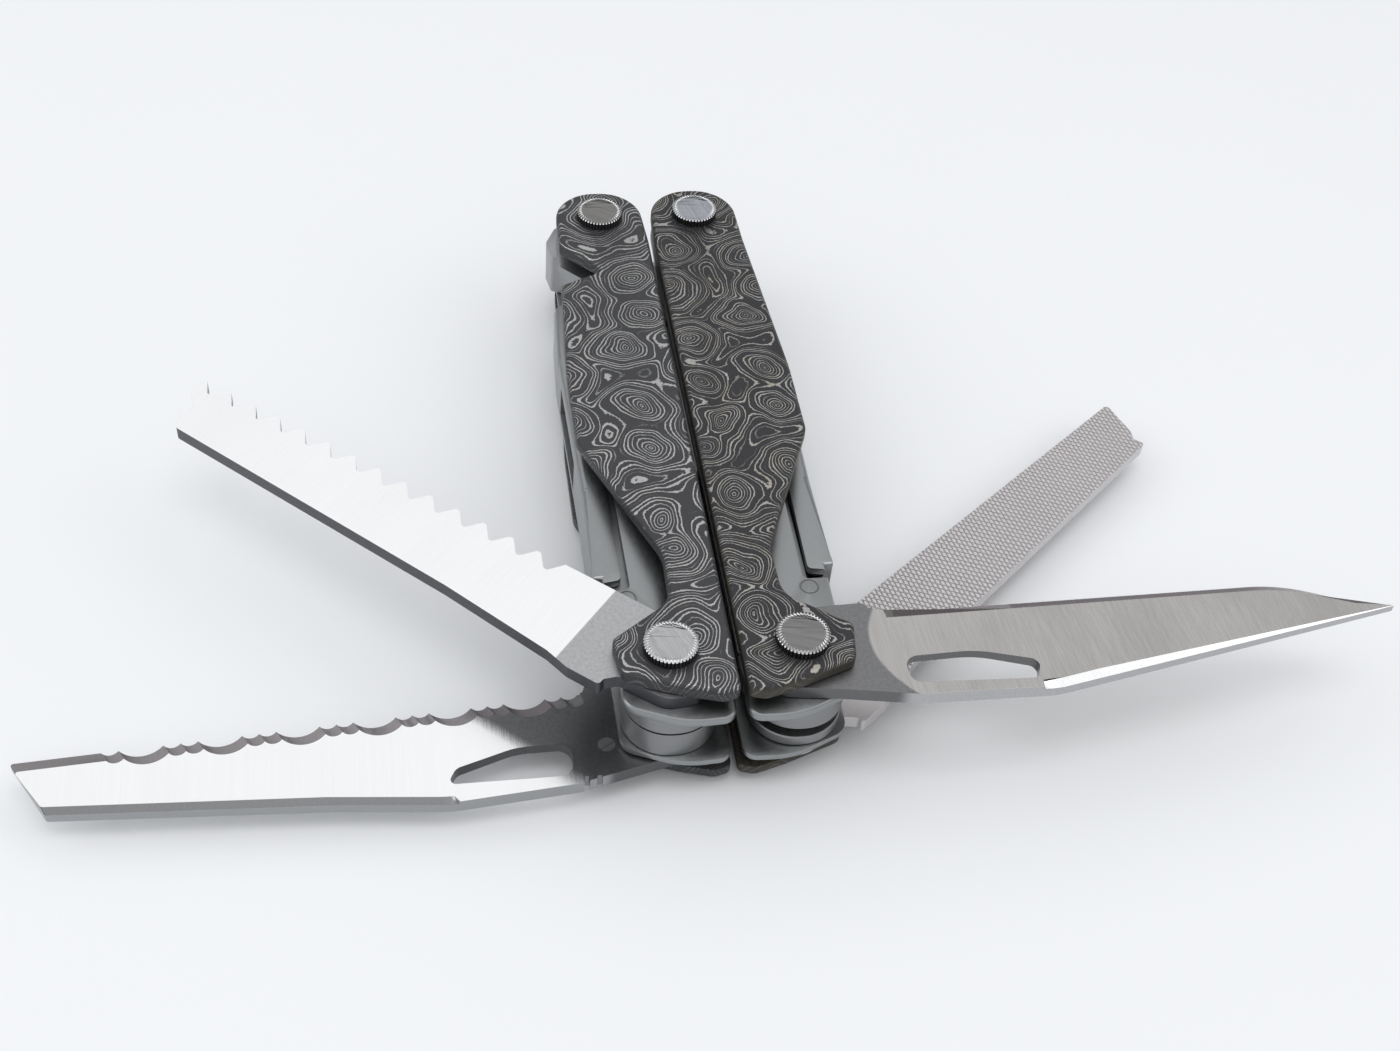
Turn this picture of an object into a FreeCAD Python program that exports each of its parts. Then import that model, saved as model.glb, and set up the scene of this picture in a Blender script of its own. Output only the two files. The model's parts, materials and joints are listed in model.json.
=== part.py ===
"""Folding multi tool: two channel handles, a plier head, four outside blades and the inside tools.

The tool lies flat. +X is to the right across both handles, +Y runs along the handles towards the
plier pivots and +Z is up. The origin is on the resting plane, in the
middle of the whole tool. Each sub-part is drawn from the line of the two near pivots, which carry
the blades; the two far pivots carry the plier head. The plier head is folded away between the
handles, and the four outside blades stand part open.
"""
import FreeCAD
import Part
import Sketcher
import math
import os

Vector = FreeCAD.Vector
LEFT = -1
RIGHT = 1
SIDE_NAMES = {LEFT: "left", RIGHT: "right"}

# Driving dimensions, all in millimetres or degrees.
SIZES = {
    "near_pivot_x": 8.2,
    "near_line_y": -41.0,
    "far_pivot_x": 7.37,
    "pivot_distance": 86.1,
    "near_overhang": 7.5,
    "handle_gap": 0.9,
    "handle_widest": 15.9,
    "wall_near_width": 14.7,
    "web_outer_x": 16.3,
    "web_top": 79.4,
    "broken_edge": 0.25,
    "waist_x": 7.0,
    "far_end_radius": 6.4,
    "head_radius": 3.4,
    "head_height": 1.3,
    "scale_thickness": 1.9,
    "scale_chamfer": 0.45,
    "blade_gap": 2.25,
    "blade_washer": 0.15,
    "wall_thickness": 1.1,
    "cavity_height": 7.1,
    "cavity_washer": 0.2,
    "barrel_radius": 2.4,
    "barrel_bore": 1.25,
    "shank_radius": 1.2,
    "running_clearance": 0.04,
    "washer_radius": 4.2,
    "spacer_radius": 3.7,
    "slit_width": 1.0,
    "lock_root": 37.5,
    "lock_width": 5.5,
    "lock_gap": 0.3,
    "lock_face": 6.1,
    "lock_tab": 1.8,
    "tang_back": 5.9,
    "blade_reach": 79.8,
    "edge_thickness": 0.4,
    "scalloped_thickness": 0.95,
    "tooth_pitch": 4.3,
    "tooth_depth": 1.7,
    "scallop_pitch": 9.4,
    "stud_radius": 1.1,
    "rivet_distance": 73.5,
    "rivet_radius": 2.6,
    "lap_radius": 7.2,
    "lap_clearance": 0.3,
    "jaw_tip": 35.5,
    "jaw_gap": 0.12,
    "driver_thickness": 4.0,
    "bit_width": 6.35,
    "bit_thickness": 3.3,
    "opener_thickness": 2.5,
    "scissor_leaf": 1.6,
    "scissor_pivot_u": 22.0,
    "small_driver_thickness": 3.3,
    "small_bit_width": 4.0,
    "small_bit_thickness": 2.4,
    "knife_angle": 1.7,
    "serrated_angle": 180.0,
    "saw_angle": 140.0,
    "file_angle": 39.0,
}

doc = FreeCAD.newDocument("multi_tool")
sheet = doc.addObject("Spreadsheet::Sheet", "sizes")
for row, (alias, value) in enumerate(SIZES.items(), start=1):
    sheet.set(f"A{row}", alias)
    sheet.set(f"B{row}", str(value))
    sheet.setAlias(f"B{row}", alias)
doc.recompute()


def size(alias):
    """A driving dimension, read from the sheet."""
    return float(sheet.get(alias))


# The stack of layers from the resting plane up, each named by the height of its lower face.
LOWER_SCALE = "sizes.head_height"
LOWER_GAP = LOWER_SCALE + " + sizes.scale_thickness"
LOWER_WALL = LOWER_GAP + " + sizes.blade_gap"
CAVITY = LOWER_WALL + " + sizes.wall_thickness"
UPPER_WALL = CAVITY + " + sizes.cavity_height"
UPPER_GAP = UPPER_WALL + " + sizes.wall_thickness"
UPPER_SCALE = UPPER_GAP + " + sizes.blade_gap"
UPPER_HEAD = UPPER_SCALE + " + sizes.scale_thickness"
FRAME_HEIGHT = "sizes.cavity_height + 2 * sizes.wall_thickness"
TANG_THICKNESS = "sizes.blade_gap - 2 * sizes.blade_washer"
HEAD_THICKNESS = "sizes.cavity_height - 2 * sizes.cavity_washer"
BARREL_HOLE = "sizes.barrel_radius + sizes.running_clearance"

parts = []


def new_body(label):
    """An empty body whose label is the name of its file."""
    body = doc.addObject("PartDesign::Body", label)
    body.Label = label
    parts.append(body)
    return body


def place(part, x="0", z="0", angle=None):
    """Puts a part, drawn from the line of the near pivots, in its place in the whole tool."""
    part.setExpression("Placement.Base.x", x)
    part.setExpression("Placement.Base.y", "sizes.near_line_y")
    part.setExpression("Placement.Base.z", z)
    if angle is not None:
        part.Placement.Rotation = FreeCAD.Rotation(Vector(0, 0, 1), angle)


def origin_plane(body, role):
    """One of the body's own three origin planes."""
    return next(plane for plane in body.Origin.OriginFeatures if plane.Role == role)


def new_sketch(body, name, offset="0", role="XY_Plane"):
    """A sketch on an origin plane of the body, moved along the plane's normal."""
    sketch = body.newObject("Sketcher::SketchObject", name)
    sketch.AttachmentSupport = [(origin_plane(body, role), "")]
    sketch.MapMode = "FlatFace"
    sketch.setExpression(".AttachmentOffset.Base.z", offset)
    return sketch


def rounded(corners):
    """The lines and arcs of a closed outline with corners (x, y, radius)."""
    starts, ends, arcs = [], [], []
    count = len(corners)
    for index, (x, y, radius) in enumerate(corners):
        here = Vector(x, y, 0)
        before = (Vector(*corners[index - 1][:2], 0) - here).normalize()
        after = (Vector(*corners[(index + 1) % count][:2], 0) - here).normalize()
        half = before.getAngle(after) / 2
        if radius == 0 or half > math.radians(89.9):
            starts.append(here)
            ends.append(here)
            continue
        inward = (before + after).normalize()
        start = here + before * (radius / math.tan(half))
        end = here + after * (radius / math.tan(half))
        middle = here + inward * (radius / math.sin(half) - radius)
        arcs.append(Part.ArcOfCircle(start, middle, end))
        starts.append(start)
        ends.append(end)
    lines = []
    for index in range(count):
        tail, head = ends[index - 1], starts[index]
        if tail.distanceToPoint(head) > 0.001:
            lines.append(Part.LineSegment(tail, head))
    return lines + arcs


def chain(points, bulges):
    """An open run of arcs through the points, each bulging to its left by its own height."""
    run = []
    for tail, head, bulge in zip(points, points[1:], bulges):
        along = (head - tail).normalize()
        if abs(bulge) < 0.001:
            run.append(Part.LineSegment(tail, head))
            continue
        middle = (tail + head) * 0.5 + Vector(-along.y, along.x, 0) * bulge
        run.append(Part.ArcOfCircle(tail, middle, head))
    return run


def add_circle(sketch, x, y, radius):
    """A circle whose radius is bound to an expression of the sheet."""
    circle = sketch.addGeometry(Part.Circle(Vector(x, y, 0), Vector(0, 0, 1), 1.0))
    sketch.addConstraint(Sketcher.Constraint("Radius", circle, 1.0))
    sketch.setExpression(f"Constraints[{sketch.ConstraintCount - 1}]", radius)
    return circle


def pad(body, geometry, length, name="blank", offset="0"):
    """Adds the outline, extruded upwards from the given height."""
    sketch = new_sketch(body, name + "_outline", offset)
    sketch.addGeometry(geometry)
    feature = body.newObject("PartDesign::Pad", name)
    feature.Profile = sketch
    feature.setExpression("Length", length)
    doc.recompute()
    return feature


def pad_circle(body, x, y, radius, length, name, offset="0"):
    """Adds a disc, extruded upwards from the given height."""
    sketch = new_sketch(body, name + "_outline", offset)
    add_circle(sketch, x, y, radius)
    feature = body.newObject("PartDesign::Pad", name)
    feature.Profile = sketch
    feature.setExpression("Length", length)
    doc.recompute()
    return feature


def cut(body, geometry, top, depth, name, role="XY_Plane", onward=False):
    """Removes the outline, downwards from the given height, or onward along the normal."""
    sketch = new_sketch(body, name + "_outline", top, role)
    sketch.addGeometry(geometry)
    feature = body.newObject("PartDesign::Pocket", name)
    feature.Profile = sketch
    feature.Reversed = onward
    feature.setExpression("Length", depth)
    doc.recompute()
    return feature


def cut_circles(body, circles, top, depth, name):
    """Removes round holes (x, y, radius expression), downwards from the given height."""
    sketch = new_sketch(body, name + "_outline", top)
    for x, y, radius in circles:
        add_circle(sketch, x, y, radius)
    feature = body.newObject("PartDesign::Pocket", name)
    feature.Profile = sketch
    feature.setExpression("Length", depth)
    doc.recompute()
    return feature


def face_at(feature, height):
    """The name of the feature's flat face at the given height."""
    for index, face in enumerate(feature.Shape.Faces, start=1):
        box = face.BoundBox
        if abs(box.ZMin - height) < 0.001 and abs(box.ZMax - height) < 0.001:
            return f"Face{index}"
    raise ValueError(f"no flat face at {height}")


def chamfer(body, feature, heights, width, name="edge_chamfer"):
    """Chamfers every edge of the feature's flat faces at the given heights."""
    result = body.newObject("PartDesign::Chamfer", name)
    result.Base = (feature, [face_at(feature, height) for height in heights])
    result.setExpression("Size", width)
    doc.recompute()
    return result


def mirrored(side, corners):
    """The corners (x, y, radius) of a right-hand outline, carried over to the given side."""
    return [(side * x, y, radius) for x, y, radius in corners]


def near_pivot(side):
    """The near pivot's place."""
    return side * size("near_pivot_x"), 0.0


def far_pivot(side):
    """The far pivot's place."""
    return side * size("far_pivot_x"), size("pivot_distance")


def pivot_holes(body, side, top, depth):
    """Round holes for the near and far pivot barrels."""
    circles = [(*near_pivot(side), BARREL_HOLE), (*far_pivot(side), BARREL_HOLE)]
    return cut_circles(body, circles, top, depth, "pivot_holes")


# ---- scales and frames ------------------------------------------------------------------------


def far_end(inner):
    """The corners around a handle's rounded far end, from its inner side to its outer side."""
    x, y = size("far_pivot_x"), size("pivot_distance")
    radius = size("far_end_radius")
    return [
        (inner, y - 6.0, 8.0),
        (x - radius + 0.1, y + radius, radius - 0.3),
        (x + radius, y + radius, radius - 0.3),
        (x + radius + 0.3, y - 6.0, 12.0),
    ]


def scale_outline(side):
    """A handle scale: full width at the far half, a waist past the thumb holes, and a foot."""
    inner = size("handle_gap") / 2
    widest = size("handle_widest")
    waist = size("waist_x")
    near = -size("near_overhang")
    corners = [
        (inner, near + 0.6, 1.0),
        *far_end(inner),
        (widest, 50.5, 40.0),
        (widest, 37.5, 3.5),
        (waist, 16.0, 7.0),
        (waist + 0.2, 7.9, 4.0),
        (15.2, 2.2, 1.2),
        (14.4, -3.5, 1.6),
        (6.8, -6.3, 8.0),
        (2.6, near, 2.0),
    ]
    return rounded(mirrored(side, corners))


def clip_notch_outline():
    """The notch in the left handle's outer edge that takes a pocket clip's hook."""
    return rounded([(-17.5, 83.1, 0), (-8.9, 74.3, 0.8), (-8.9, 73.1, 0.8), (-17.5, 69.1, 0)])


def make_scale(side, layer, height):
    """One handle scale with its outer edges chamfered."""
    scale = new_body(f"{SIDE_NAMES[side]}_{layer}_scale")
    blank = pad(scale, scale_outline(side), "sizes.scale_thickness")
    outer_face = size("scale_thickness") if layer == "upper" else 0.0
    if side == LEFT:
        blank = cut(scale, clip_notch_outline(), "sizes.scale_thickness",
                    "sizes.scale_thickness", "clip_notch")
    chamfer(scale, blank, [outer_face], "sizes.scale_chamfer")
    pivot_holes(scale, side, "sizes.scale_thickness", "sizes.scale_thickness")
    place(scale, z=height)


def wall_outline(side):
    """A frame wall: it stands a little proud of the scales where the web joins the two walls."""
    inner = size("handle_gap") / 2 + 0.3
    web = size("web_outer_x")
    narrow = web - 0.5
    near_edge = size("wall_near_width")
    web_top = size("web_top")
    corners = [
        (inner, -8.1, 1.8),
        *far_end(inner)[:3],
        (14.0, web_top + 0.4, 0.3),
        (web - 1.0, web_top, 0.5),
        (web, 60.0, 40.0),
        (narrow, 32.0, 40.0),
        (narrow, 15.8, 0),
        (near_edge, 15.8, 0),
        (near_edge - 0.3, -5.2, 2.6),
        (7.0, -8.4, 12.0),
    ]
    return rounded(mirrored(side, corners))


def cavity_outline(side):
    """The space between the walls: it stops at the web and runs out of both ends."""
    web = size("web_outer_x") - size("wall_thickness")
    narrow = web - 0.5
    outer = size("web_outer_x") + 1
    web_top = size("web_top")
    near = -size("near_overhang") - 2
    far = size("pivot_distance") + size("far_end_radius") + 1
    corners = [
        (-1.0, near, 0),
        (-1.0, far, 0),
        (outer, far, 0),
        (outer, web_top - 0.6, 0),
        (web - 0.9, web_top - 0.6, 0),
        (web, 60.0, 0),
        (narrow, 32.0, 0),
        (narrow, 13.0, 0),
        (outer, 13.0, 0),
        (outer, near, 0),
    ]
    return rounded(mirrored(side, corners))


def lock_recess_outline(side):
    """The cut-out of a wall that leaves room for the blade lock and its thumb finger."""
    gap = size("lock_gap")
    inner = size("handle_gap") / 2 + 0.3
    tab = size("lock_tab") - gap
    face = size("lock_face") - gap
    finger = inner + 1.2 + gap
    corners = [
        (-1.0, size("lock_root"), 0),
        (inner + size("lock_width") + gap, size("lock_root"), 0),
        (inner + size("lock_width") + gap, face, 0.5),
        (finger, face, 0.5),
        (finger, tab, 0.5),
        (-1.0, tab, 0),
    ]
    return rounded(mirrored(side, corners))


def spring_slit_outline(side):
    """The slit that frees a wall's outer strip as a leaf spring, turning outwards at its end."""
    width = size("slit_width")
    inner, outer = 11.3, size("web_outer_x") + 1
    end = 13.4
    root = 39.9
    corners = [
        (inner, end, 0.9),
        (outer, end, 0),
        (outer, end + width, 0),
        (inner + width, end + width + 0.8, 0.7),
        (inner + width + 0.3, root, 0.4),
        (inner + 0.3, root, 0.4),
    ]
    return rounded(mirrored(side, corners))


def web_window(side):
    """The window through the web, behind the blades' thumb holes."""
    outer = size("web_outer_x") + 1
    low, high = 38.9, 54.5
    return rounded(mirrored(side, [(13.5, low, 0), (13.5, high, 0), (outer, high, 0),
                                   (outer, low, 0)]))


def make_frame(side):
    """A handle frame: two walls joined by a web, folded from one sheet of steel."""
    frame = new_body(f"{SIDE_NAMES[side]}_frame")
    blank = pad(frame, wall_outline(side), FRAME_HEIGHT)
    chamfer(frame, blank, [0.0, blank.Shape.BoundBox.ZMax], "sizes.broken_edge")
    cut(frame, cavity_outline(side), "sizes.wall_thickness + sizes.cavity_height",
        "sizes.cavity_height", "cavity")
    cut(frame, web_window(side), "sizes.cavity_height + sizes.wall_thickness - 1",
        "sizes.cavity_height - 2", "web_window")
    cut(frame, lock_recess_outline(side), FRAME_HEIGHT, FRAME_HEIGHT, "lock_recess")
    cut(frame, spring_slit_outline(side), FRAME_HEIGHT, FRAME_HEIGHT, "spring_slit")
    if side == LEFT:
        cut(frame, clip_notch_outline(), FRAME_HEIGHT, FRAME_HEIGHT, "clip_notch")
    pivot_holes(frame, side, FRAME_HEIGHT, FRAME_HEIGHT)
    place(frame, z=LOWER_WALL)


def make_lock(side, layer, height):
    """A blade lock: a leaf of the wall that springs out behind the blade's tang."""
    lock = new_body(f"{SIDE_NAMES[side]}_{layer}_blade_lock")
    inner = size("handle_gap") / 2 + 0.3
    root = size("lock_root") - 0.05
    face = size("lock_face")
    outer = inner + size("lock_width")
    finger = inner + 1.2
    tab = size("lock_tab")
    corners = [
        (inner, root, 0),
        (outer, root, 0),
        (outer, face, 0.4),
        (finger, face, 0.6),
        (finger, tab, 0.4),
        (inner, tab, 0.4),
    ]
    pad(lock, rounded(mirrored(side, corners)), "sizes.wall_thickness")
    place(lock, z=height)


# ---- pivots -----------------------------------------------------------------------------------


def make_barrel(side, name, place_of):
    """A pivot barrel: a headed tube that the whole stack turns on."""
    barrel = new_body(f"{SIDE_NAMES[side]}_{name}_pivot_barrel")
    x, y = place_of(side)
    head = pad_circle(barrel, x, y, "sizes.head_radius", "sizes.head_height", "head")
    chamfer(barrel, head, [0.0], "0.35")
    pad_circle(barrel, x, y, "sizes.barrel_radius", UPPER_HEAD + " - sizes.head_height - 0.4",
               "tube", "sizes.head_height")
    cut_circles(barrel, [(x, y, "sizes.barrel_bore")], UPPER_HEAD, UPPER_HEAD + " - 4", "bore")
    place(barrel)


def make_screw(side, name, place_of):
    """A pivot screw: a flat knurled head on a shank that fills the barrel's bore."""
    screw = new_body(f"{SIDE_NAMES[side]}_{name}_pivot_screw")
    x, y = place_of(side)
    head = pad_circle(screw, x, y, "sizes.head_radius", "sizes.head_height", "head", UPPER_HEAD)
    top = size("head_height") + head.Shape.BoundBox.ZMin
    chamfer(screw, head, [top], "0.35")
    pad_circle(screw, x, y, "sizes.shank_radius", UPPER_HEAD + " - 6", "shank", "6")
    place(screw)


def make_rings(label, x, y, radius, rings):
    """A group of flat rings on one pivot, each (height, thickness)."""
    solids = []
    for height, thickness in rings:
        disc = Part.makeCylinder(size(radius), thickness, Vector(x, y, height))
        hole = Part.makeCylinder(size("barrel_radius") + size("running_clearance"), thickness,
                                 Vector(x, y, height))
        solids.append(disc.cut(hole))
    group = doc.addObject("Part::Feature", label)
    group.Label = label
    group.Shape = Part.makeCompound(solids)
    place(group)
    parts.append(group)


def heights():
    """The layer heights as numbers, for the ring groups."""
    lower_gap = size("head_height") + size("scale_thickness")
    lower_wall = lower_gap + size("blade_gap")
    cavity = lower_wall + size("wall_thickness")
    upper_wall = cavity + size("cavity_height")
    upper_gap = upper_wall + size("wall_thickness")
    return lower_gap, lower_wall, cavity, upper_wall, upper_gap


def make_washers(side, first_tool):
    """The washers and spacers of one handle; first_tool is the lower inside tool's thickness."""
    lower_gap, lower_wall, cavity, upper_wall, upper_gap = heights()
    thin, thick = size("blade_washer"), size("cavity_washer")
    gap = size("blade_gap")
    name = SIDE_NAMES[side]
    blade_rings = []
    for floor in (lower_gap, upper_gap):
        blade_rings += [(floor, thin), (floor + gap - thin, thin)]
    make_rings(f"{name}_blade_washers", *near_pivot(side), "washer_radius", blade_rings)
    tool_rings = [(cavity, thick), (cavity + thick + first_tool, thick), (upper_wall - thick, thick)]
    make_rings(f"{name}_tool_washers", *near_pivot(side), "washer_radius", tool_rings)
    jaw_rings = [(cavity, thick), (upper_wall - thick, thick)]
    make_rings(f"{name}_plier_washers", *far_pivot(side), "washer_radius", jaw_rings)
    spacer_rings = [(lower_gap, gap), (upper_gap, gap)]
    make_rings(f"{name}_scale_spacers", *far_pivot(side), "spacer_radius", spacer_rings)


# ---- outside blades ---------------------------------------------------------------------------


def tang_corners(upper, lower, lobe=False):
    """The corners of a tang's rounded back, from its upper shoulder to its lower one or its lobe."""
    back = size("tang_back")
    shoulder = [(4.0, lower, 3.0)]
    if lobe:
        shoulder = [(3.6, -5.9, 1.0), (4.9, lower + 1.0, 0.6), (4.9, lower, 0.5), (9.6, lower, 1.5)]
    return [
        (4.0, upper, 3.0),
        (-3.2, 5.6, 3.0),
        (-back, 2.6, 1.0),
        (-back, -2.6, 1.0),
        (-3.2, -5.6, 3.0),
        *shoulder,
    ]


def finish_blade(blade, side, height, angle):
    """Drills the pivot hole and sets the blade on its pivot at the angle that it stands open."""
    cut_circles(blade, [(0, 0, BARREL_HOLE)], TANG_THICKNESS, TANG_THICKNESS, "pivot_hole")
    x = "sizes.near_pivot_x" if side == RIGHT else "-sizes.near_pivot_x"
    place(blade, x, height + " + sizes.blade_washer", size(angle))


def grind(blade, start, spine, edge, left_thick, faces=("upper", "lower")):
    """Grinds the blade's faces to a wedge, from the spine line down to the thickness left."""
    thick = size("blade_gap") - 2 * size("blade_washer")
    drop = (thick - left_thick) / len(faces)
    beyond = edge + math.copysign(1.0, edge - spine)
    deep = drop * (beyond - spine) / (edge - spine)
    for name in faces:
        level, sign = (thick, -1) if name == "upper" else (0.0, 1)
        wedge = [(spine, level, 0), (beyond, level + sign * deep, 0), (beyond, level - sign, 0),
                 (spine, level - sign, 0)]
        cut(blade, rounded(wedge), str(start), "sizes.blade_reach", f"{name}_grind",
            "YZ_Plane", True)


def make_knife():
    """The plain-edged clip-point knife with its thumb hole."""
    knife = new_body("knife_blade")
    reach = size("blade_reach")
    corners = [
        (reach, -1.6, 0),
        (66.0, 4.3, 22.0),
        (10.2, 5.6, 0.5),
        (9.4, 6.6, 0.5),
        *tang_corners(6.6, -6.8),
        (13.5, -8.7, 12.0),
        (31.0, -9.5, 10.0),
    ]
    pad(knife, rounded(corners), TANG_THICKNESS)
    grind(knife, 12.0, -8.6, 5.6, size("edge_thickness"))
    hole = [(12.6, -2.4, 1.8), (22.0, -2.4, 14.0), (29.8, -5.0, 1.2), (28.6, -7.9, 0.9),
            (12.8, -6.7, 1.4)]
    cut(knife, rounded(hole), TANG_THICKNESS, TANG_THICKNESS, "thumb_hole")
    finish_blade(knife, RIGHT, UPPER_GAP, "knife_angle")


def scallop_wire():
    """The serrated edge: groups of two small scallops, with a large one between groups."""
    slope = -0.0608
    small, large = 2.05, size("scallop_pitch") - 2 * 2.05
    along, points, bulges = 10.7, [], []
    for _ in range(7):
        for step, depth in ((small, 0.55), (small, 0.55), (large, 1.25)):
            points.append(Vector(along, -(4.65 + slope * (along - 10.7)), 0))
            bulges.append(depth)
            along += step
    points = points[:-1]
    bulges = bulges[:len(points) - 1]
    closing = [points[-1], points[-1] + Vector(0, -4, 0), points[0] + Vector(0, -4, 0), points[0]]
    return chain(points, bulges) + chain(closing, [0, 0, 0])


def notch(start):
    """One small thumb notch across the serrated blade's spine."""
    return rounded([(start, 8.3, 0.2), (start + 0.7, 8.3, 0.2), (start + 0.7, 12.0, 0),
                    (start, 12.0, 0)])


def make_serrated():
    """The serrated sheepsfoot blade; its edge is on its local -Y side."""
    blade = new_body("serrated_blade")
    reach = size("blade_reach")
    corners = [
        (reach, -0.4, 0.3),
        (75.0, 7.4, 0.6),
        (41.9, 9.2, 20.0),
        (27.4, 10.6, 12.0),
        (11.9, 9.3, 8.0),
        *[(x, -y, radius) for x, y, radius in reversed(tang_corners(6.8, -7.4))],
        (9.3, -6.6, 0.5),
        (10.0, -4.7, 0.5),
    ]
    pad(blade, rounded(corners), TANG_THICKNESS)
    cut(blade, scallop_wire(), TANG_THICKNESS, TANG_THICKNESS, "scallops")
    grind(blade, 9.5, 9.0, -4.0, size("scalloped_thickness"), ("lower",))
    notches = [point for start in (5.6, 7.2, 8.8, 10.4) for point in notch(start)]
    cut(blade, notches, TANG_THICKNESS, TANG_THICKNESS, "thumb_notches")
    hole = [(27.8, 7.9, 0.7), (26.6, 5.6, 1.5), (19.0, 3.1, 9.0), (12.2, 3.1, 1.8),
            (12.2, 8.0, 1.8)]
    cut(blade, rounded(hole), TANG_THICKNESS, TANG_THICKNESS, "thumb_hole")
    stud_hole = [(7.8, 3.7, "sizes.stud_radius")]
    cut_circles(blade, stud_hole, TANG_THICKNESS, TANG_THICKNESS, "stud_hole")
    finish_blade(blade, LEFT, LOWER_GAP, "serrated_angle")


def make_stud(label, side, height, angle, across):
    """A stop stud, pressed through a blade's tang beside the pivot."""
    stud = new_body(label)
    pad_circle(stud, 7.8, across, "sizes.stud_radius", TANG_THICKNESS, "stud")
    x = "sizes.near_pivot_x" if side == RIGHT else "-sizes.near_pivot_x"
    place(stud, x, height + " + sizes.blade_washer", size(angle))


def saw_teeth_wire():
    """The saw's gullets, one V with a rounded root for each tooth."""
    pitch, depth = size("tooth_pitch"), size("tooth_depth")
    edge, outside = -5.4, -8.0
    points = []
    bulges = []
    start = 19.2
    for tooth in range(14):
        along = start + tooth * pitch
        points += [Vector(along, edge, 0), Vector(along + 1.2, edge + depth, 0),
                   Vector(along + 2.2, edge + depth, 0), Vector(along + 3.7, edge, 0)]
        bulges += [0, 0.3, 0, 0]
    closing = [points[-1], Vector(points[-1].x, outside, 0), Vector(start, outside, 0), points[0]]
    return chain(points, bulges) + chain(closing, [0, 0, 0])


def make_saw():
    """The wood saw; its teeth are on its local -Y side."""
    saw = new_body("saw_blade")
    corners = [
        (79.6, -2.9, 0.8),
        (78.6, -5.4, 0.3),
        *[(x, -y, radius) for x, y, radius in tang_corners(5.5, -8.3, True)],
        (13.0, 7.5, 2.0),
        (29.5, 6.1, 20.0),
        (75.9, 4.1, 0.6),
        (77.5, 0.8, 0.3),
        (76.2, 0.2, 0.3),
    ]
    pad(saw, rounded(corners), TANG_THICKNESS)
    cut(saw, saw_teeth_wire(), TANG_THICKNESS, TANG_THICKNESS, "gullets")
    finish_blade(saw, LEFT, UPPER_GAP, "saw_angle")


def make_file():
    """The flat file with its slanted, notched end."""
    blade = new_body("file_blade")
    corners = [
        (79.5, 3.9, 0.6),
        (19.6, 5.2, 10.0),
        (9.0, 5.5, 3.0),
        *tang_corners(5.5, -8.3, True),
        (18.0, -6.6, 6.0),
        (76.5, -5.0, 0.5),
        (76.1, -3.2, 0.3),
        (77.2, -2.0, 0.3),
    ]
    pad(blade, rounded(corners), TANG_THICKNESS)
    finish_blade(blade, RIGHT, LOWER_GAP, "file_angle")


# ---- plier head -------------------------------------------------------------------------------


def jaw_corners():
    """The half of the plier head whose arm is on the left and whose nose is on the right.

    An ear on the arm stands out past the handle and stops it when it is folded open.
    """
    pivot_x, pivot_y = size("far_pivot_x"), size("pivot_distance")
    rivet_y, tip = size("rivet_distance"), size("jaw_tip")
    grip = size("jaw_gap") / 2
    return [
        (-pivot_x - 6.4, pivot_y + 4.6, 0.8),
        (-pivot_x - 2.0, pivot_y + 6.2, 4.0),
        (-pivot_x + 5.2, pivot_y + 5.2, 4.9),
        (-1.6, rivet_y + 7.0, 2.0),
        (6.8, rivet_y + 6.8, 6.0),
        (6.9, rivet_y - 5.0, 6.0),
        (5.4, rivet_y - 12.0, 8.0),
        (2.0, tip, 0.8),
        (grip, tip, 0),
        (grip, rivet_y - 6.0, 0),
        (-6.6, rivet_y - 6.6, 5.0),
        (-7.2, rivet_y + 1.0, 4.0),
        (-pivot_x - 5.4, pivot_y - 3.2, 4.0),
        (-pivot_x - 7.5, pivot_y - 2.6, 0.6),
        (-pivot_x - 8.1, pivot_y + 1.0, 2.0),
    ]


def grip_teeth_wire(direction):
    """The cross serrations of a flat gripping face near the tip."""
    grip = direction * size("jaw_gap") / 2
    start, pitch = size("jaw_tip") + 1.0, 0.8
    points = []
    for tooth in range(14):
        along = start + tooth * pitch
        points += [Vector(grip, along, 0), Vector(grip + direction * 0.35, along + pitch / 2, 0)]
    points.append(Vector(grip, start + 14 * pitch, 0))
    closing = [points[-1], Vector(-direction, points[-1].y, 0), Vector(-direction, start, 0),
               points[0]]
    return chain(points, [0] * (len(points) - 1)) + chain(closing, [0, 0, 0])


def make_jaw(side):
    """One half of the plier head, halved in thickness where it laps over the other."""
    jaw = new_body(f"{SIDE_NAMES[side]}_plier_jaw")
    flip = -side
    outline = [(flip * x, y, radius) for x, y, radius in jaw_corners()]
    pad(jaw, rounded(outline), HEAD_THICKNESS)
    rivet_y = size("rivet_distance")
    half = "(" + HEAD_THICKNESS + ") / 2"
    top = HEAD_THICKNESS if side == LEFT else half
    clearance = [(0.0, rivet_y, "sizes.lap_radius + sizes.lap_clearance")]
    cut_circles(jaw, clearance, top, half, "lap")
    cut(jaw, grip_teeth_wire(flip), HEAD_THICKNESS, HEAD_THICKNESS, "grip_teeth")
    holes = [(0.0, rivet_y, "sizes.rivet_radius + sizes.running_clearance"),
             (*far_pivot(side), BARREL_HOLE)]
    cut_circles(jaw, holes, HEAD_THICKNESS, HEAD_THICKNESS, "pivot_holes")
    place(jaw, z=CAVITY + " + sizes.cavity_washer")


def make_rivet():
    """The rivet that the two plier halves turn on."""
    rivet = new_body("plier_rivet")
    pad_circle(rivet, 0.0, size("rivet_distance"), "sizes.rivet_radius", HEAD_THICKNESS, "rivet")
    place(rivet, z=CAVITY + " + sizes.cavity_washer")


# ---- inside tools -----------------------------------------------------------------------------


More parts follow.
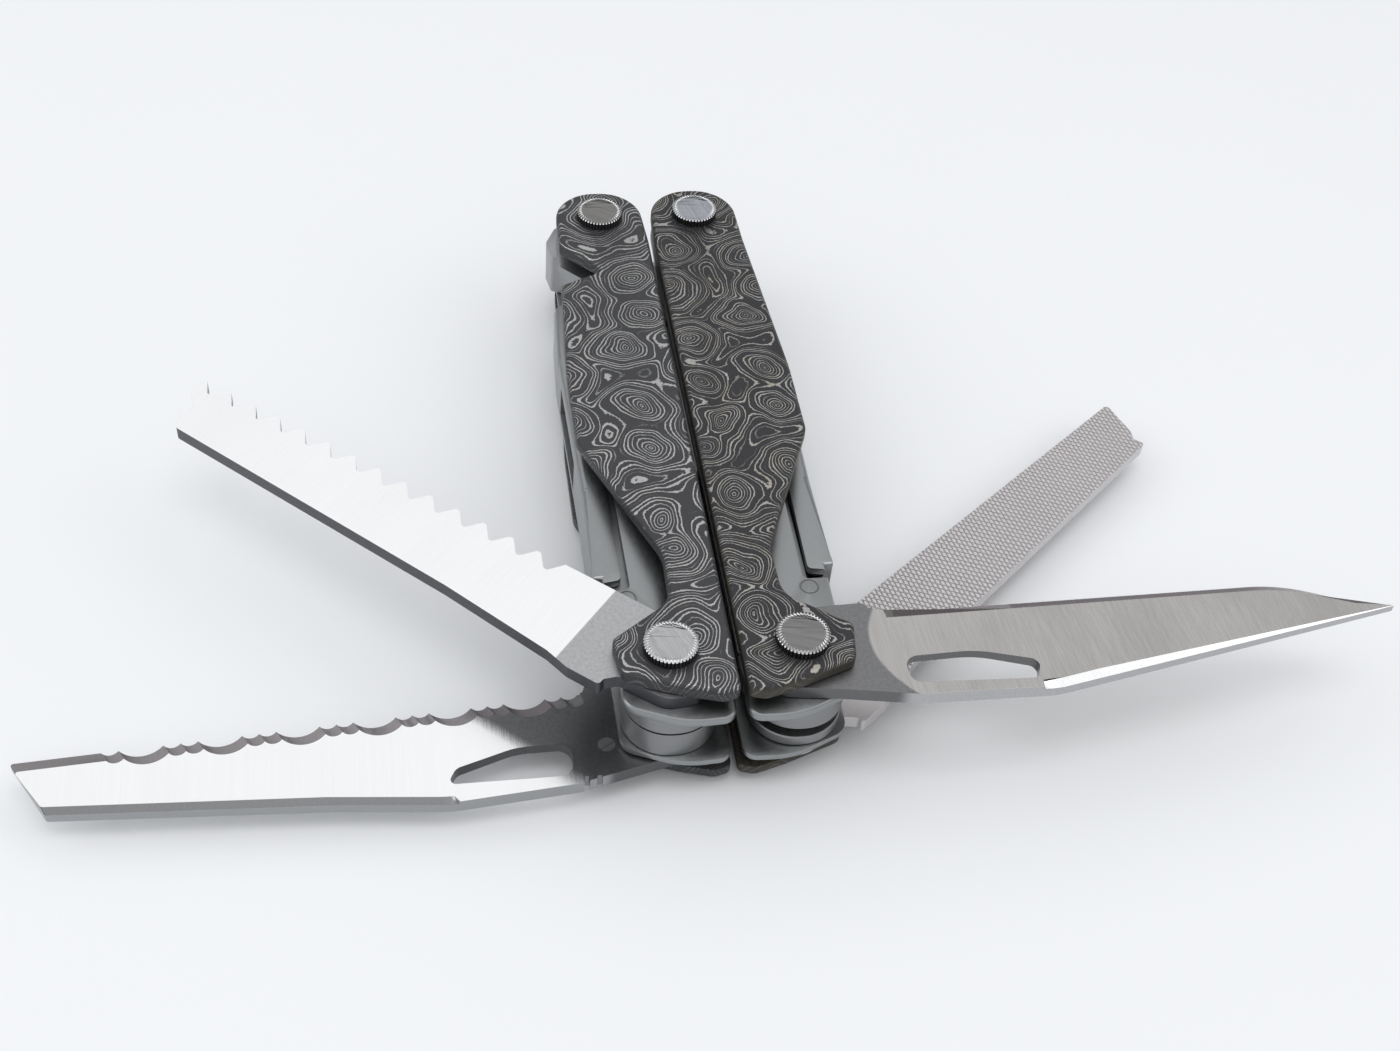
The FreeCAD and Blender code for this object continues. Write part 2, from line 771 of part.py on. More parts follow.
def tool_place(tool, side, height):
    """Stands an inside tool on its near pivot, folded along the handle."""
    x = "sizes.near_pivot_x" if side == RIGHT else "-sizes.near_pivot_x"
    place(tool, x, height, 90)


def tool_tang():
    """The rounded tang shared by the inside tools, around the pivot's far side."""
    return [(-7.2, 6.2, 5.8), (-7.2, -6.2, 5.8), (4.0, -6.2, 4.0)]


def side_corners(side, corners):
    """Corners (along, towards the web, radius) of an inside tool on the given handle."""
    return [(along, -side * across, radius) for along, across, radius in corners]


def make_bit_driver(side, label, height, thickness, width, bit_width, bit_thickness):
    """A bit driver: a folding arm with a socket that holds a flat double-ended bit."""
    driver = new_body(label)
    half = width / 2
    corners = [*tool_tang(), (12.0, -half + 1.0, 3.0), (38.0, -half + 1.0, 1.0),
               (38.0, half + 1.0, 1.0), (12.0, half + 1.0, 3.0), (6.0, 5.4, 2.0)]
    pad(driver, rounded(side_corners(side, corners)), thickness)
    fit = 0.05
    reach = size(bit_width) / 2 + fit
    socket = [(21.0, 1.0 - reach, 0), (39.0, 1.0 - reach, 0), (39.0, 1.0 + reach, 0),
              (21.0, 1.0 + reach, 0)]
    margin = f"({thickness} - {bit_thickness}) / 2"
    cut(driver, rounded(side_corners(side, socket)), f"{thickness} - {margin} + {fit}",
        f"{bit_thickness} + 2 * {fit}", "socket")
    cut_circles(driver, [(0, 0, BARREL_HOLE)], thickness, thickness, "pivot_hole")
    tool_place(driver, side, height)


def make_bit(side, label, height, bit_width, bit_thickness, end):
    """A flat double-ended screwdriver bit, lying in its driver's socket."""
    bit = new_body(label)
    half = size(bit_width) / 2
    start = 21.2
    corners = [(start, 1.0 - half + 1.2, 0.3), (start + 5, 1.0 - half, 1.0), (end - 7, 1.0 - half, 1.0),
               (end, 1.0 - half + 1.2, 0.3), (end, 1.0 + half - 1.2, 0.3),
               (end - 7, 1.0 + half, 1.0), (start + 5, 1.0 + half, 1.0),
               (start, 1.0 + half - 1.2, 0.3)]
    pad(bit, rounded(side_corners(side, corners)), bit_thickness)
    tool_place(bit, side, height)


def make_opener():
    """The can and bottle opener with its hooked cutting point and wire stripper notch."""
    opener = new_body("can_opener")
    thickness = "sizes.opener_thickness"
    corners = [*tool_tang(), (12.0, -4.6, 4.0), (26.0, -4.2, 3.0),
               (38.0, -3.6, 3.0), (44.0, 0.4, 0.8), (42.0, 3.8, 0.6), (36.6, 0.8, 1.6),
               (33.6, 1.2, 1.2), (33.0, 5.0, 0.8), (26.0, 5.4, 2.0), (6.0, 5.4, 2.0)]
    pad(opener, rounded(side_corners(LEFT, corners)), thickness)
    cut_circles(opener, [(0, 0, BARREL_HOLE)], thickness, thickness, "pivot_hole")
    tool_place(opener, LEFT, CAVITY + " + 2 * sizes.cavity_washer + sizes.driver_thickness")


def scissor_pin():
    """Where the scissors turn, along and across the fixed leaf."""
    return size("scissor_pivot_u"), 0.4


def make_scissors():
    """The spring scissors: a fixed leaf on the handle's pivot, a lever leaf, a spring, a rivet."""
    height = CAVITY + " + sizes.cavity_washer"
    leaf = "sizes.scissor_leaf"
    pin_u, pin_v = scissor_pin()
    fixed = new_body("scissors_fixed_blade")
    corners = [*tool_tang(), (12.0, -4.6, 4.0), (20.0, -4.2, 2.0),
               (26.0, -1.2, 2.0), (48.6, 0.0, 0), (48.6, 0.9, 0.4), (28.0, 3.8, 2.0),
               (18.0, 2.8, 2.0), (14.0, -1.0, 2.0), (9.0, -1.0, 2.0), (4.0, 5.4, 2.0)]
    pad(fixed, rounded(side_corners(RIGHT, corners)), leaf)
    pin_hole = [(pin_u, -pin_v, "1.5 + sizes.running_clearance")]
    cut_circles(fixed, pin_hole, leaf, leaf, "scissor_hole")
    cut_circles(fixed, [(0, 0, BARREL_HOLE)], leaf, leaf, "pivot_hole")
    tool_place(fixed, RIGHT, height)
    lever = new_body("scissors_lever_blade")
    corners = [(8.6, 5.2, 0.5), (8.6, 4.0, 0.5), (16.5, 2.2, 2.0), (19.0, -2.8, 2.0),
               (27.0, -3.4, 2.0), (48.3, -0.8, 0.3), (48.3, 0.1, 0), (27.0, 1.6, 1.0),
               (23.0, 3.4, 2.0), (17.0, 5.0, 2.0)]
    pad(lever, rounded(side_corners(RIGHT, corners)), leaf)
    cut_circles(lever, pin_hole, leaf, leaf, "scissor_hole")
    tool_place(lever, RIGHT, height + " + sizes.scissor_leaf")
    rivet = new_body("scissors_rivet")
    pad_circle(rivet, pin_u, -pin_v, "1.5", "2 * sizes.scissor_leaf", "rivet")
    tool_place(rivet, RIGHT, height)
    spring = new_body("scissors_spring")
    corners = [(7.6, -2.2, 0.3), (7.6, -3.0, 0.3), (15.4, -3.0, 1.2), (15.4, 1.8, 0.3),
               (14.6, 1.9, 0.3), (14.6, -2.2, 0.6)]
    pad(spring, rounded(side_corners(RIGHT, corners)), "sizes.scissor_leaf - 0.1")
    tool_place(spring, RIGHT, height + " + sizes.scissor_leaf")


def make_inside_tools():
    """The tools that fold between the walls of each handle."""
    height = CAVITY + " + sizes.cavity_washer"
    make_bit_driver(LEFT, "large_bit_driver", height, "sizes.driver_thickness", 8.4,
                    "bit_width", "sizes.bit_thickness")
    bit_height = height + " + (sizes.driver_thickness - sizes.bit_thickness) / 2"
    make_bit(LEFT, "large_bit", bit_height, "bit_width", "sizes.bit_thickness", 49.5)
    make_opener()
    make_scissors()
    small = height + " + 2 * sizes.scissor_leaf + sizes.cavity_washer"
    make_bit_driver(RIGHT, "small_bit_driver", small, "sizes.small_driver_thickness", 6.0,
                    "small_bit_width", "sizes.small_bit_thickness")
    offset = " + (sizes.small_driver_thickness - sizes.small_bit_thickness) / 2"
    make_bit(RIGHT, "small_bit", small + offset, "small_bit_width", "sizes.small_bit_thickness",
             44.0)


# ---- the whole tool ---------------------------------------------------------------------------


def build():
    """Makes every sub-part."""
    first_tool = {LEFT: size("driver_thickness"), RIGHT: 2 * size("scissor_leaf")}
    for side in (LEFT, RIGHT):
        make_frame(side)
        make_scale(side, "lower", LOWER_SCALE)
        make_scale(side, "upper", UPPER_SCALE)
        make_lock(side, "lower", LOWER_WALL)
        make_lock(side, "upper", UPPER_WALL)
        for name, place_of in (("near", near_pivot), ("far", far_pivot)):
            make_barrel(side, name, place_of)
            make_screw(side, name, place_of)
        make_washers(side, first_tool[side])
        make_jaw(side)
    make_rivet()
    make_knife()
    make_serrated()
    make_stud("serrated_stop_stud", LEFT, LOWER_GAP, "serrated_angle", 3.7)
    make_saw()
    make_file()
    make_inside_tools()
    doc.recompute()


def check():
    """Stops if any object of the document failed, or any sub-part is not one valid shape."""
    for item in doc.Objects:
        if "Invalid" in item.State or "Error" in item.State:
            raise RuntimeError(f"{item.Label} failed: {item.State}")
    for part in parts:
        if part.Shape.isNull() or not part.Shape.isValid():
            raise RuntimeError(f"{part.Label} has no valid shape")


def write():
    """Writes each sub-part to a file of its own."""
    os.makedirs("parts", exist_ok=True)
    for part in parts:
        part.Shape.exportStep(f"parts/{part.Label}.step")
    print(len(parts), "sub-parts written")


build()
check()
write()
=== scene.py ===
"""Looks of a folding multi tool with etched scales, four outside blades and a plier head."""

from __future__ import annotations

import logging
import math
from dataclasses import dataclass, field, replace
from enum import Enum
from typing import Callable, Iterable

import bpy
from mathutils import Matrix, Vector
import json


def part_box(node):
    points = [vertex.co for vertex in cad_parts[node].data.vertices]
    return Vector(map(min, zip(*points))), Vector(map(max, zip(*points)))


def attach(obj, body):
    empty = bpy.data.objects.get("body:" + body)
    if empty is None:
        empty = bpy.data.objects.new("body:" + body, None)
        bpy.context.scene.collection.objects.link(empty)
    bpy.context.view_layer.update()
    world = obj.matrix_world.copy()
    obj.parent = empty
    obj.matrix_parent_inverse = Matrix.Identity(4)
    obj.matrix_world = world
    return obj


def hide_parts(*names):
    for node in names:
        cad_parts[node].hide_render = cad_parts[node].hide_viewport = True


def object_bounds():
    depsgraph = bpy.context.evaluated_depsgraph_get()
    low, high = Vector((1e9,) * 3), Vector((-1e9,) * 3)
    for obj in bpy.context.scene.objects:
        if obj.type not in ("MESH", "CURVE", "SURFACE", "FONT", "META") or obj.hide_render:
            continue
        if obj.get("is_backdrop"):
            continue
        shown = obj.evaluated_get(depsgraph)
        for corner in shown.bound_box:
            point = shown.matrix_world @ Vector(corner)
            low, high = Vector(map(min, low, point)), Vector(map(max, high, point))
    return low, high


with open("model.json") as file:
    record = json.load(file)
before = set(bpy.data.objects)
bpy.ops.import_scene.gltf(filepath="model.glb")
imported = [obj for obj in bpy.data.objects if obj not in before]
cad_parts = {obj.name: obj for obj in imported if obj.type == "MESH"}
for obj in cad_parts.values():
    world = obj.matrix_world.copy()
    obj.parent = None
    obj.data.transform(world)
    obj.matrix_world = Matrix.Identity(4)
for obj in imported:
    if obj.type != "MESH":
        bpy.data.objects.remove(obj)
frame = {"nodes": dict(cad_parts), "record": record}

LOG = logging.getLogger("multi_tool")
MM = 0.001
SAME_POINT = 0.002 * MM
NEAR = 0.01 * MM
Place = tuple[float, float, float]
Colour = tuple[float, float, float]
BODY_OF = {node: body for body, nodes in frame["record"]["behaviour"]["bodies"].items() for node in nodes}


class Side(Enum):
    """A handle, with its sign on the X axis."""

    LEFT = -1
    RIGHT = 1

    @property
    def word(self) -> str:
        """The handle's name as the nodes use it."""
        return self.name.lower()


class Layer(Enum):
    """The face of the tool that a scale covers."""

    LOWER = "lower"
    UPPER = "upper"


class Grain(Enum):
    """How a steel's surface was finished: streaks per millimetre along and across it, and contrast."""

    BRUSHED = (0.09, 7.0, 0.8)
    SATIN = (1.6, 6.0, 0.22)
    GROUND = (0.05, 9.0, 0.55)
    MIRROR = (0.04, 12.0, 0.12)

    def __init__(self, along: float, across: float, contrast: float) -> None:
        """Names the grain's three numbers."""
        self.along, self.across, self.contrast = along, across, contrast


def shade(colour: Colour, share: float) -> Colour:
    """A colour made darker by a share below 1, or lighter by one above."""
    return tuple(min(1.0, share * value) for value in colour)


# ---- shader maths ------------------------------------------------------------------------------


class Term:
    """A number in a shader, which adds its Math nodes when it is used in a sum."""

    def __init__(self, graph: Graph, socket: bpy.types.NodeSocket) -> None:
        """Wraps a number socket of the graph."""
        self.graph = graph
        self.socket = socket

    def _with(self, operation: str, *values: Term | float) -> Term:
        """A Math node on the given values, in order."""
        return self.graph.maths(operation, *values)

    def __add__(self, other: Term | float) -> Term:
        """self + other."""
        return self._with("ADD", self, other)

    def __sub__(self, other: Term | float) -> Term:
        """self - other."""
        return self._with("SUBTRACT", self, other)

    def __rsub__(self, other: float) -> Term:
        """other - self."""
        return self._with("SUBTRACT", other, self)

    def __mul__(self, other: Term | float) -> Term:
        """self * other."""
        return self._with("MULTIPLY", self, other)

    def __pow__(self, other: float) -> Term:
        """self to the power of other."""
        return self._with("POWER", self, other)

    def sine(self) -> Term:
        """The sine of the number."""
        return self._with("SINE", self)

    def size(self) -> Term:
        """The number without its sign."""
        return self._with("ABSOLUTE", self)

    def least(self, other: Term | float) -> Term:
        """The lesser of the two."""
        return self._with("MINIMUM", self, other)

    def step(self, low: float, high: float) -> Term:
        """A smooth step from 0 at low to 1 at high.

        Args:
            low: The number that gives 0.
            high: The number that gives 1. It may be below low, and the step then falls.

        Returns:
            The step, between 0 and 1.
        """
        node = self.graph.node(
            "ShaderNodeMapRange",
            {"interpolation_type": "SMOOTHSTEP"},
            {"Value": self, "From Min": low, "From Max": high},
        )
        return Term(self.graph, node.outputs["Result"])


class Graph:
    """A material and its nodes."""

    def __init__(self, name: str) -> None:
        """Starts an empty material.

        Args:
            name: The material's name.
        """
        self.material = bpy.data.materials.new(name)
        self.material.use_nodes = True
        self.tree = self.material.node_tree
        self.tree.nodes.clear()

    def node(self, kind: str, settings: dict[str, object], inputs: dict[object, object]) -> bpy.types.Node:
        """Adds a node.

        Args:
            kind: The node's type.
            settings: Its properties, which are set first.
            inputs: A value, a link or a Term for each socket, by name or number.

        Returns:
            The node.
        """
        made = self.tree.nodes.new(kind)
        for name, value in settings.items():
            setattr(made, name, value)
        for name, value in inputs.items():
            if isinstance(value, Term):
                value = value.socket
            if isinstance(value, bpy.types.NodeSocket):
                self.tree.links.new(value, made.inputs[name])
            else:
                made.inputs[name].default_value = value
        return made

    def maths(self, operation: str, *values: Term | float) -> Term:
        """A Math node on the values, in order."""
        made = self.node("ShaderNodeMath", {"operation": operation}, dict(enumerate(values)))
        return Term(self, made.outputs[0])

    def coordinates(self) -> bpy.types.NodeSocket:
        """The surface's own coordinates in the tool's frame.

        Returns:
            The vector socket, in millimetres.
        """
        source = self.node("ShaderNodeTexCoord", {}, {})
        scaled = self.node(
            "ShaderNodeVectorMath",
            {"operation": "SCALE"},
            {"Vector": source.outputs["Object"], "Scale": 1.0 / MM},
        )
        return scaled.outputs[0]

    def turned(self, centre: Place, angle: float, stretch: Place) -> bpy.types.NodeSocket:
        """The coordinates from a centre, turned so that X runs along the angle, then stretched.

        Args:
            centre: The place, in millimetres, that becomes 0.
            angle: The direction, in degrees from the tool's X axis, that becomes X.
            stretch: How many units of the pattern go into a millimetre, along each axis.

        Returns:
            The vector socket.
        """
        moved = self.node(
            "ShaderNodeVectorMath",
            {"operation": "SUBTRACT"},
            {0: self.coordinates(), 1: centre},
        )
        turn = self.node(
            "ShaderNodeMapping",
            {"vector_type": "POINT"},
            {"Vector": moved.outputs[0], "Rotation": (0.0, 0.0, -math.radians(angle))},
        )
        sized = self.node(
            "ShaderNodeVectorMath",
            {"operation": "MULTIPLY"},
            {0: turn.outputs[0], 1: stretch},
        )
        return sized.outputs[0]

    def parts(self, vector: bpy.types.NodeSocket) -> tuple[Term, Term, Term]:
        """The X, Y and Z of a vector."""
        split = self.node("ShaderNodeSeparateXYZ", {}, {0: vector})
        return Term(self, split.outputs[0]), Term(self, split.outputs[1]), Term(self, split.outputs[2])

    def normal(self) -> tuple[Term, Term, Term]:
        """The X, Y and Z of the surface's direction in the tool's frame."""
        source = self.node("ShaderNodeTexCoord", {}, {})
        return self.parts(source.outputs["Normal"])

    def noise(self, vector: bpy.types.NodeSocket, scale: float, detail: float) -> Term:
        """A cloudy number around a half, with features 1/scale across."""
        made = self.node(
            "ShaderNodeTexNoise",
            {},
            {"Vector": vector, "Scale": scale, "Detail": detail, "Roughness": 0.55},
        )
        return Term(self, made.outputs["Fac"])

    def mix(self, share: Term | float, first: object, second: object) -> bpy.types.NodeSocket:
        """A colour between two others.

        Args:
            share: 0 gives the first and 1 the second.
            first: A colour or a socket.
            second: A colour or a socket.

        Returns:
            The colour socket.
        """
        made = self.node("ShaderNodeMix", {"data_type": "RGBA"}, {0: share})
        for index, value in ((6, first), (7, second)):
            if isinstance(value, bpy.types.NodeSocket):
                self.tree.links.new(value, made.inputs[index])
            else:
                made.inputs[index].default_value = (*value, 1.0)
        return made.outputs[2]

    def bump(self, height: Term, depth: float, strength: float) -> bpy.types.NodeSocket:
        """A normal for a relief whose height of 1 is depth millimetres."""
        made = self.node(
            "ShaderNodeBump", {}, {"Height": height, "Distance": depth * MM, "Strength": strength}
        )
        return made.outputs["Normal"]

    def surface(self, inputs: dict[str, object]) -> bpy.types.Material:
        """Ends the material in one Principled surface.

        Args:
            inputs: A value, a link or a Term for each of the surface's sockets.

        Returns:
            The material.
        """
        shader = self.node("ShaderNodeBsdfPrincipled", {}, inputs)
        self.node("ShaderNodeOutputMaterial", {}, {"Surface": shader.outputs[0]})
        return self.material


# ---- finishes ----------------------------------------------------------------------------------


@dataclass(frozen=True)
class Damascus:
    """Etched raindrop steel: dark ground with fine light rings around many drops.

    Attributes:
        ground: The etched ground's colour.
        line: The rings' colour.
        tint: The rings' colour where the steel has taken a tint.
        flank: The colour of the sides.
        drop: How far apart the drops are, in millimetres.
        rings: About how many layers each drop cuts through.
        wobble: How much the layers wave, in layers.
        ragged: How frayed the rings are, in layers.
        thin: How thin the rings are, from 0 to 1.
        tinted: How much of the tint shows.
        shift: Where the pattern starts, in millimetres.
        outward: 1 on an upper scale and -1 on a lower one.
    """

    name: str
    ground: Colour
    line: Colour
    tint: Colour
    flank: Colour
    drop: float = 9.8
    rings: float = 11.0
    wobble: float = 3.0
    ragged: float = 0.2
    thin: float = 0.5
    tinted: float = 0.25
    shift: Place = (0.0, 0.0, 0.0)
    outward: float = 1.0

    def layers(self, graph: Graph) -> Term:
        """The height of the forged layers over the surface.

        Args:
            graph: The material.

        Returns:
            The height, in layers.
        """
        flat = graph.turned(self.shift, 0.0, (1.0, 1.0, 0.0))
        bent = graph.node(
            "ShaderNodeTexNoise",
            {},
            {"Vector": flat, "Scale": 0.16, "Detail": 1.0, "Roughness": 0.4},
        )
        pushed = graph.node(
            "ShaderNodeVectorMath",
            {"operation": "MULTIPLY_ADD"},
            {0: bent.outputs["Color"], 1: (4.5, 4.5, 0.0), 2: flat},
        )
        drops = graph.node(
            "ShaderNodeTexVoronoi",
            {"feature": "SMOOTH_F1", "voronoi_dimensions": "2D"},
            {"Vector": pushed.outputs[0], "Scale": 1.0 / self.drop, "Smoothness": 0.45, "Randomness": 0.62},
        )
        reach = Term(graph, drops.outputs["Distance"])
        cloud = graph.noise(flat, 0.11, 1.5)
        fray = graph.noise(flat, 2.6, 3.0)
        _, _, height = graph.parts(graph.coordinates())
        rise = reach * self.rings * 1.5
        return rise + cloud * self.wobble + (fray - 0.5) * self.ragged * 2.0 + height * 0.9

    def make(self) -> bpy.types.Material:
        """Builds the material.

        Returns:
            The material.
        """
        graph = Graph(self.name)
        flat = graph.turned(self.shift, 0.0, (1.0, 1.0, 1.0))
        layers = self.layers(graph)
        wave = (layers * (2.0 * math.pi)).sine() * 0.5 + 0.5
        body = graph.noise(flat, 0.28, 2.0)
        count = graph.node(
            "ShaderNodeTexNoise",
            {"noise_dimensions": "1D"},
            {"W": layers.socket, "Scale": 0.55, "Detail": 1.0},
        )
        width = Term(graph, count.outputs["Fac"])
        level = wave + (width - 0.5) * 0.6 + (body - 0.5) * 0.35
        lines = level.step(0.48 + self.thin * 0.5, 0.66 + self.thin * 0.5)
        speck = graph.noise(flat, 9.0, 2.0)
        tone = graph.noise(flat, 0.35, 1.0)
        bright = graph.mix(tone.step(0.42, 0.66) * self.tinted, self.line, self.tint)
        worn = graph.mix(speck.step(0.3, 0.75), shade(self.line, 0.72), bright)
        dark = graph.mix(speck.step(0.35, 0.8), self.ground, shade(self.ground, 1.7))
        _, _, up = graph.normal()
        side = (up * self.outward).step(0.8, 0.5)
        flank = graph.mix(speck.step(0.3, 0.7), shade(self.flank, 0.5), self.flank)
        face = graph.mix(lines, dark, worn)
        return graph.surface(
            {
                "Base Color": graph.mix(side * (1.0 - lines * 0.2), face, flank),
                "Metallic": lines * 0.55 + 0.4,
                "Roughness": 0.52 - lines * 0.12 + (speck - 0.5) * 0.12,
                "Normal": graph.bump(lines + speck * 0.25, 0.02, 0.7),
            }
        )


@dataclass(frozen=True)
class Steel:
    """Bare steel with its grain: fine lines along one direction, and clouds.

    Attributes:
        colour: Its colour.
        roughness: Its roughness, from 0 to 1.
        angle: The direction of the grain, in degrees from the tool's X axis.
        grain: How it was finished.
        depth: The depth of the scratches, in millimetres.
        centre: Where the grain is measured from, in millimetres.
    """

    name: str
    colour: Colour
    roughness: float
    angle: float = 0.0
    grain: Grain = Grain.BRUSHED
    depth: float = 0.008
    centre: Place = (0.0, 0.0, 0.0)

    def streaks(self, graph: Graph) -> Term:
        """Fine scratches along the grain.

        Args:
            graph: The material.

        Returns:
            A number around a half.
        """
        along, across = self.grain.along, self.grain.across
        lines = graph.turned(self.centre, self.angle, (along, across, across * 0.5))
        coarse = graph.turned(self.centre, self.angle, (along * 0.6, across * 0.22, across * 0.2))
        return graph.noise(lines, 1.0, 3.0) * 0.65 + graph.noise(coarse, 1.0, 2.0) * 0.35

    def tone(self, graph: Graph, streaks: Term) -> bpy.types.NodeSocket:
        """The steel's colour, with its streaks and clouds.

        Args:
            graph: The material.
            streaks: The scratches.

        Returns:
            The colour socket.
        """
        clouds = graph.noise(graph.turned(self.centre, self.angle, (0.05, 0.12, 0.1)), 1.0, 2.0)
        low = shade(self.colour, 1.0 - 0.34 * self.grain.contrast)
        high = shade(self.colour, 1.0 + 0.16 * self.grain.contrast)
        return graph.mix((streaks * 0.75 + clouds * 0.25).step(0.32, 0.68), low, high)

    def make(self) -> bpy.types.Material:
        """Builds the material.

        Returns:
            The material.
        """
        graph = Graph(self.name)
        streaks = self.streaks(graph)
        return graph.surface(
            {
                "Base Color": self.tone(graph, streaks),
                "Metallic": 1.0,
                "Roughness": (streaks - 0.5) * 0.35 + self.roughness,
                "Normal": graph.bump(streaks, self.depth, 0.6),
            }
        )


@dataclass(frozen=True)
class StampedSteel(Steel):
    """Frame steel with the small round marks that the press leaves beside each near pivot."""

    mark_x: float = 11.9
    mark_y: float = -28.9
    mark_radius: float = 1.15

    def make(self) -> bpy.types.Material:
        """Builds the material.

        Returns:
            The material.
        """
        graph = Graph(self.name)
        streaks = self.streaks(graph)
        x, y, _ = graph.parts(graph.coordinates())
        away_x, away_y = x.size() - self.mark_x, y - self.mark_y
        away = (away_x * away_x + away_y * away_y) ** 0.5
        ring = (away - self.mark_radius).size().step(0.2, 0.05)
        colour = graph.mix(ring * 0.6, self.tone(graph, streaks), (0.16, 0.16, 0.17))
        return graph.surface(
            {
                "Base Color": colour,
                "Metallic": 1.0,
                "Roughness": (streaks - 0.5) * 0.3 + self.roughness,
                "Normal": graph.bump(streaks * 0.15 - ring, 0.05, 0.8),
            }
        )


@dataclass(frozen=True)
class ScrewSteel(Steel):
    """Turned steel with a brushed face, a painted highlight on the chamfer round it and painted shadow on
    the knurled side.
    """

    # Painted shadow: the colour of the knurled side.
    rim: Colour = (0.07, 0.07, 0.075)
    # Painted highlight: the colour of the chamfer round the face.
    chamfer: Colour = (0.78, 0.78, 0.79)

    def make(self) -> bpy.types.Material:
        """Builds the material.

        Returns:
            The material.
        """
        graph = Graph(self.name)
        streaks = self.streaks(graph)
        _, _, up = graph.normal()
        # The knurled side, found by its facing, which gets the painted shadow.
        side = up.size().step(0.55, 0.25)
        speck = graph.noise(graph.coordinates(), 3.0, 3.0)
        # A painted highlight on the chamfer round the face, found by its tilt.
        face = graph.mix(up.size().step(0.93, 0.84), self.tone(graph, streaks), self.chamfer)
        # Painted shadow on the knurled side.
        colour = graph.mix(side, face, self.rim)
        return graph.surface(
            {
                "Base Color": colour,
                "Metallic": 1.0,
                "Roughness": (streaks - 0.5) * 0.35 + self.roughness + side * 0.15,
                "Normal": graph.bump(streaks + speck * 0.3, self.depth, 0.6),
            }
        )


@dataclass(frozen=True)
class FileSteel(Steel):
    """File steel, double cut: two crossing sets of fine grooves over the blade's faces, with painted shade
    in them.

    Attributes:
        pitch: How far apart the first grooves are, in millimetres.
        coarser: How many times further apart the second ones are.
        first_cut: The first grooves' direction, in degrees from the blade's.
        second_cut: The second grooves' direction.
        start: How far from the pivot they start, in millimetres.
    """

    pitch: float = 0.62
    coarser: float = 1.25
    first_cut: float = 62.0
    second_cut: float = 118.0
    start: float = 14.0

    def cut(self, graph: Graph, angle: float, pitch: float) -> Term:
        """One set of grooves.

        Args:
            graph: The material.
            angle: The grooves' direction, in degrees from the blade's.
            pitch: How far apart they are, in millimetres.

        Returns:
            0 at the roots and 1 on the crests.
        """
        across, _, _ = graph.parts(graph.turned(self.centre, self.angle + angle + 90.0, (1.0, 1.0, 1.0)))
        ragged = graph.noise(graph.coordinates(), 1.4, 2.0)
        return ((across + ragged * 0.12) * (math.pi / pitch)).sine().size()

    def make(self) -> bpy.types.Material:
        """Builds the material.

        Returns:
            The material.
        """
        graph = Graph(self.name)
        streaks = self.streaks(graph)
        teeth = self.cut(graph, self.first_cut, self.pitch).least(
            self.cut(graph, self.second_cut, self.pitch * self.coarser)
        )
        along, _, _ = graph.parts(graph.turned(self.centre, self.angle, (1.0, 1.0, 1.0)))
        _, _, up = graph.normal()
        shown = along.step(self.start - 0.4, self.start + 0.4) * up.size().step(0.6, 0.8)
        groove = (1.0 - teeth.step(0.12, 0.6)) * shown
        # Painted shade in the grooves: the colour darkens where the bump cuts in.
        colour = graph.mix(groove * 0.72, self.tone(graph, streaks), (0.30, 0.27, 0.28))
        return graph.surface(
            {
                "Base Color": colour,
                "Metallic": 0.9,
                "Roughness": (streaks - 0.5) * 0.2 + self.roughness,
                "Normal": graph.bump(streaks * 0.2 - groove, 0.12, 0.8),
            }
        )


